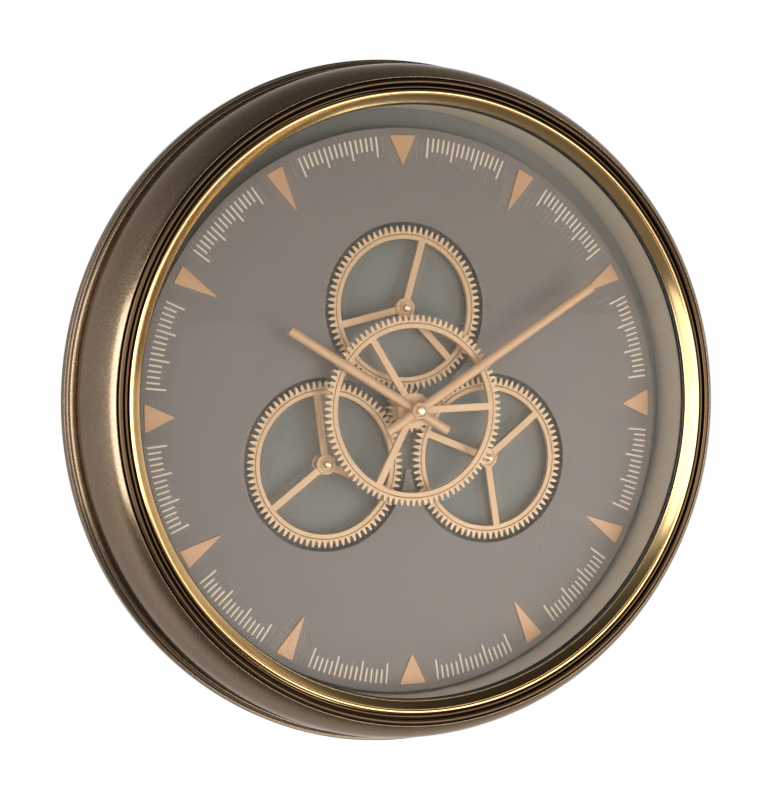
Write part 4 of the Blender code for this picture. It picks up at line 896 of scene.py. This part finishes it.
def make_cell(name, node, up):
    """A round cell: the case with its rolled ends, the tip, and an attribute that runs from 0 at
    the flat end to 1 at the tip, for the jacket's bands."""
    rear, radius = CELL_REAR_END, CELL_RADIUS
    profile = ended(
        [(0.0, rear), (4.6, rear), (4.7, rear + 0.3), (radius - 0.2, rear + 0.3), (radius, -24.0),
         (radius, 23.8), (6.6, 24.6), (2.6, 24.75), (2.6, CELL_TIP_END), (0.0, CELL_TIP_END)], 0.2,
    )
    grid = lying(profile, (CELL_ACROSS, -CELL_DISTANCE, up))
    cell = piece(name, [grid], "case", "cell", [node], wrap=(True, False))
    points = points_of(cell)
    along = (points[:, 0] - CELL_ACROSS - CELL_REAR_END) / (CELL_TIP_END - CELL_REAR_END)
    band = np.clip(along, 0.0, 1.0)
    sleeve = np.hypot(points[:, 1] + CELL_DISTANCE, points[:, 2] - up) >= CELL_RADIUS - 0.15
    band[~sleeve | (band < 0.012)] = 1.0
    carry(cell, "band", np.where((band > 0.93) & sleeve, 0.90, band))


def screw_head(centre, rear, radius, rise):
    """A round screw head facing the wall, its top a shallow dome."""
    top = rear - rise
    profile = [(0.0, rear), (radius, rear), (radius, rear - 0.4 * rise), (0.7 * radius, top), (0.0, top)]
    return turned(ended(profile, 0.3), centre, 24)


def make_knob():
    """The setting knob on its post, with a fluted rim: r (1 - 0.015 (1 - cos n t)) for n flutes."""
    steps = 6 * KNOB_FLUTES
    centre = (DIAL[0] + KNOB_PLACE[0], DIAL[1] + KNOB_PLACE[1])
    turn = np.linspace(0.0, 2 * np.pi, steps, endpoint=False)[:, None]
    profile = ended([
        (0.0, HOUSING_REAR), (5.2, HOUSING_REAR), (KNOB_RADIUS, 2.1), (KNOB_RADIUS, 4.1),
        (1.5, 4.1), (1.5, 9.4), (0.0, 9.4),
    ], 0.15)
    flute = 1.0 - 0.015 * (1.0 - np.cos(KNOB_FLUTES * turn)) * (profile[None, :, 0] > 5.0)
    middle = np.array([centre[0], 0.0, centre[1]])
    grid = turned(profile, centre, steps) - middle
    grid = middle + grid * np.stack([flute, np.ones_like(flute), flute], -1)
    body = "setting_knob"
    piece("setting_knob_fine", [grid], body, "white plastic", ["setting_knob"], wrap=(True, False))


def make_back():
    """Housings, cells, knob, switch, hanger and their small screws."""
    from_solid("movement_housing", "movement_case", "case", "black plastic")
    from_solid("drive_housing", "gear_drive_case", "case", "black plastic")
    from_solid("hanger_steel", "hanger_plate", "case", "steel", 0.15)
    from_solid("switch_button", "gear_switch", "gear_switch", "white plastic", 0.3)
    drive_up = DIAL[1] + GEAR_CIRCLE
    make_cell("movement_cell_fine", "movement_cell", DIAL[1] + MOVEMENT_CELL_UP)
    make_cell("drive_upper_cell_fine", "drive_upper_cell", drive_up + DRIVE_CELL_UP)
    make_cell("drive_lower_cell_fine", "drive_lower_cell", drive_up - DRIVE_CELL_UP)
    make_knob()
    places = [
        (DIAL[0] + side * across, middle + end * up)
        for middle, across, up in ((DIAL[1], 24.6, 24.6), (drive_up, 27.6, 4.6))
        for side in (-1, 1) for end in (-1, 1)
    ]
    heads = [screw_head(place, HOUSING_REAR + 0.05, 1.5, 0.5) for place in places]
    piece("housing_screws", heads, "case", "steel", wrap=(True, False))


# Stage

def make_floor():
    """A plain pale floor: matt, and a little brighter to the eye than the light alone makes it.
    Metal sees it darker in front of the clock, as a studio's floor is off the sweep."""
    made = bpy.data.materials.new("pale_floor")
    made.use_nodes = True
    made.node_tree.nodes.clear()
    matt = new_node(made, "BsdfDiffuse", {"Color": (0.86, 0.86, 0.86, 1.0)}).outputs["BSDF"]
    dark = new_node(made, "BsdfDiffuse", {"Color": (0.30, 0.27, 0.23, 1.0)}).outputs["BSDF"]
    glow = new_node(made, "Emission", {"Strength": 0.85}).outputs["Emission"]
    pale = new_node(made, "AddShader", {0: matt, 1: glow}).outputs["Shader"]
    seen = new_node(made, "LightPath", {}).outputs
    place = new_node(made, "TexCoord", {}).outputs["Object"]
    split = new_node(made, "SeparateXYZ", {"Vector": place}).outputs
    straight = joined(made, "MAXIMUM", seen["Is Camera Ray"], seen["Is Glossy Ray"])
    surface = blended(made, straight, matt, pale)
    front = spread(made, split["Y"], 1.0, 0.0, 0.0, 0.9)
    share = joined(made, "MULTIPLY", front, seen["Is Glossy Ray"])
    new_node(made, "OutputMaterial", {"Surface": blended(made, share, surface, dark)})
    mesh = bpy.data.meshes.new("floor")
    side = np.array([-FLOOR_HALF, FLOOR_HALF])
    across, along = np.meshgrid(side, side, indexing="ij")
    points = np.stack([across.ravel(), along.ravel(), np.full(4, FLOOR_UP)], -1)
    mesh.from_pydata(points.tolist(), [], [(0, 2, 3, 1)])
    mesh.materials.append(made)
    floor = bpy.data.objects.new("floor", mesh)
    bpy.context.scene.collection.objects.link(floor)


def make_world():
    """White straight behind the clock for the eye, for metal and through glass, and a plain level
    for the rest. In front of the clock, metal sees a studio that is pale at the clock's height and
    darker to the right, and a bright wall far out at the right."""
    world = bpy.data.worlds.new("studio")
    bpy.context.scene.world = world
    world.use_nodes = True
    world.node_tree.nodes.clear()
    seen = new_node(world, "LightPath", {}).outputs
    place = new_node(world, "TexCoord", {}).outputs["Generated"]
    split = new_node(world, "SeparateXYZ", {"Vector": place}).outputs

    def by_direction(part, stops):
        """A level for each place of one part of the direction, which runs from -1 to 1."""
        share = spread(world, split[part], 0.0, 1.0, -1.0, 1.0)
        return ramp(world, share, [(place / 2 + 0.5, (level,) * 3) for place, level in stops])

    def white(strength):
        """A white background of this strength."""
        inputs = {"Color": (1.0, 1.0, 1.0, 1.0), "Strength": strength}
        return new_node(world, "Background", inputs).outputs["Background"]

    behind = by_direction("Y", [(-0.30, 0.16), (-0.12, 0.20), (0.05, 1.0)])
    above = by_direction("Z", [(0.25, 1.0), (0.60, 0.58), (0.85, 0.22), (0.97, 0.12)])
    behind = joined(world, "MULTIPLY", behind, above)
    level = by_direction("Z", [(-0.55, 0.0), (-0.30, 1.0), (0.40, 1.0), (0.65, 0.0)])
    ahead = by_direction("Y", [(-0.30, 0.75), (-0.05, 0.0)])
    leftward = by_direction("X", [(0.15, 1.0), (0.45, 0.3)])
    side = by_direction("X", [(0.84, 0.0), (0.94, 0.95)])
    front = joined(world, "MAXIMUM", joined(world, "MULTIPLY", leftward, ahead), side)
    room = joined(world, "MAXIMUM", behind, joined(world, "MULTIPLY", level, front))
    glossy = blended(world, seen["Is Glossy Ray"], white(0.27), white(room))
    straight = joined(world, "MAXIMUM", seen["Is Camera Ray"], seen["Is Transmission Ray"])
    new_node(world, "OutputWorld", {"Surface": blended(world, straight, glossy, white(1.0))})


def make_lamp(name, place, aim, size, power, paint=True):
    """A soft panel; one that is not for paint shines on metal and lacquer only."""
    data = bpy.data.lights.new(name, "AREA")
    data.shape = "RECTANGLE"
    data.size, data.size_y = size
    data.energy = power
    lamp = bpy.data.objects.new(name, data)
    bpy.context.scene.collection.objects.link(lamp)
    lamp.location = place
    lamp.visible_diffuse = paint
    lamp.rotation_euler = (Vector(aim) - Vector(place)).to_track_quat("-Z", "Y").to_euler()


def make_camera():
    """The photograph's view: a little to the clock's left and a touch above, with a long lens."""
    azimuth, elevation, roll = math.radians(-23.22), math.radians(1.52), math.radians(-1.08)
    away, right_shift, up_shift, scale = 8.608, -0.081, 0.037, 0.185
    back = Vector((
        math.sin(azimuth) * math.cos(elevation), -math.cos(azimuth) * math.cos(elevation),
        math.sin(elevation),
    ))
    level = (-back).cross(Vector((0.0, 0.0, 1.0))).normalized()
    upright = level.cross(-back)
    right = math.cos(roll) * level + math.sin(roll) * upright
    up = math.cos(roll) * upright - math.sin(roll) * level
    face = Vector((0.0, -DIAL_FRONT * MM, DIAL[1] * MM))
    place = face + scale * (back * away + right * right_shift + up * up_shift)
    data = bpy.data.cameras.new("camera")
    data.sensor_width = 36.0
    data.lens = 106.3
    data.clip_end = 100.0
    camera = bpy.data.objects.new("camera", data)
    bpy.context.scene.collection.objects.link(camera)
    camera.matrix_world = Matrix.Translation(place) @ Matrix((right, up, back)).transposed().to_4x4()
    bpy.context.scene.camera = camera


make_case()
make_bezel()
make_well()
make_dial()
make_markers()
make_outer_gears()
make_centre_gears()
make_centre_stack()
make_hands()
make_back()
paint_node("bush_nut", "brass")
for k in range(1, 7):
    paint_node(f"dial_standoff_{k}", "brass")
make_floor()
make_world()
make_lamp("left_softbox", (-1.56, -1.09, -0.15), (0.0, 0.0, -0.22), (1.0, 2.0), 4.6)
make_lamp("left_gleam", (-1.55, -1.08, -0.15), (0.0, 0.0, -0.22), (1.0, 2.0), 7.0, paint=False)
make_lamp("left_strip", (-1.56, -0.42, -0.20), (-0.2, 0.0, -0.22), (0.7, 1.4), 16.0, paint=False)
make_lamp("front_panel", (-0.95, -2.3, -0.10), (0.0, 0.0, -0.22), (1.6, 1.6), 16.5)
make_lamp("low_right_panel", (0.45, -0.68, -0.58), (0.0, 0.0, -0.27), (0.9, 0.9), 6.8)
make_camera()
bpy.context.scene.view_settings.view_transform = "Standard"
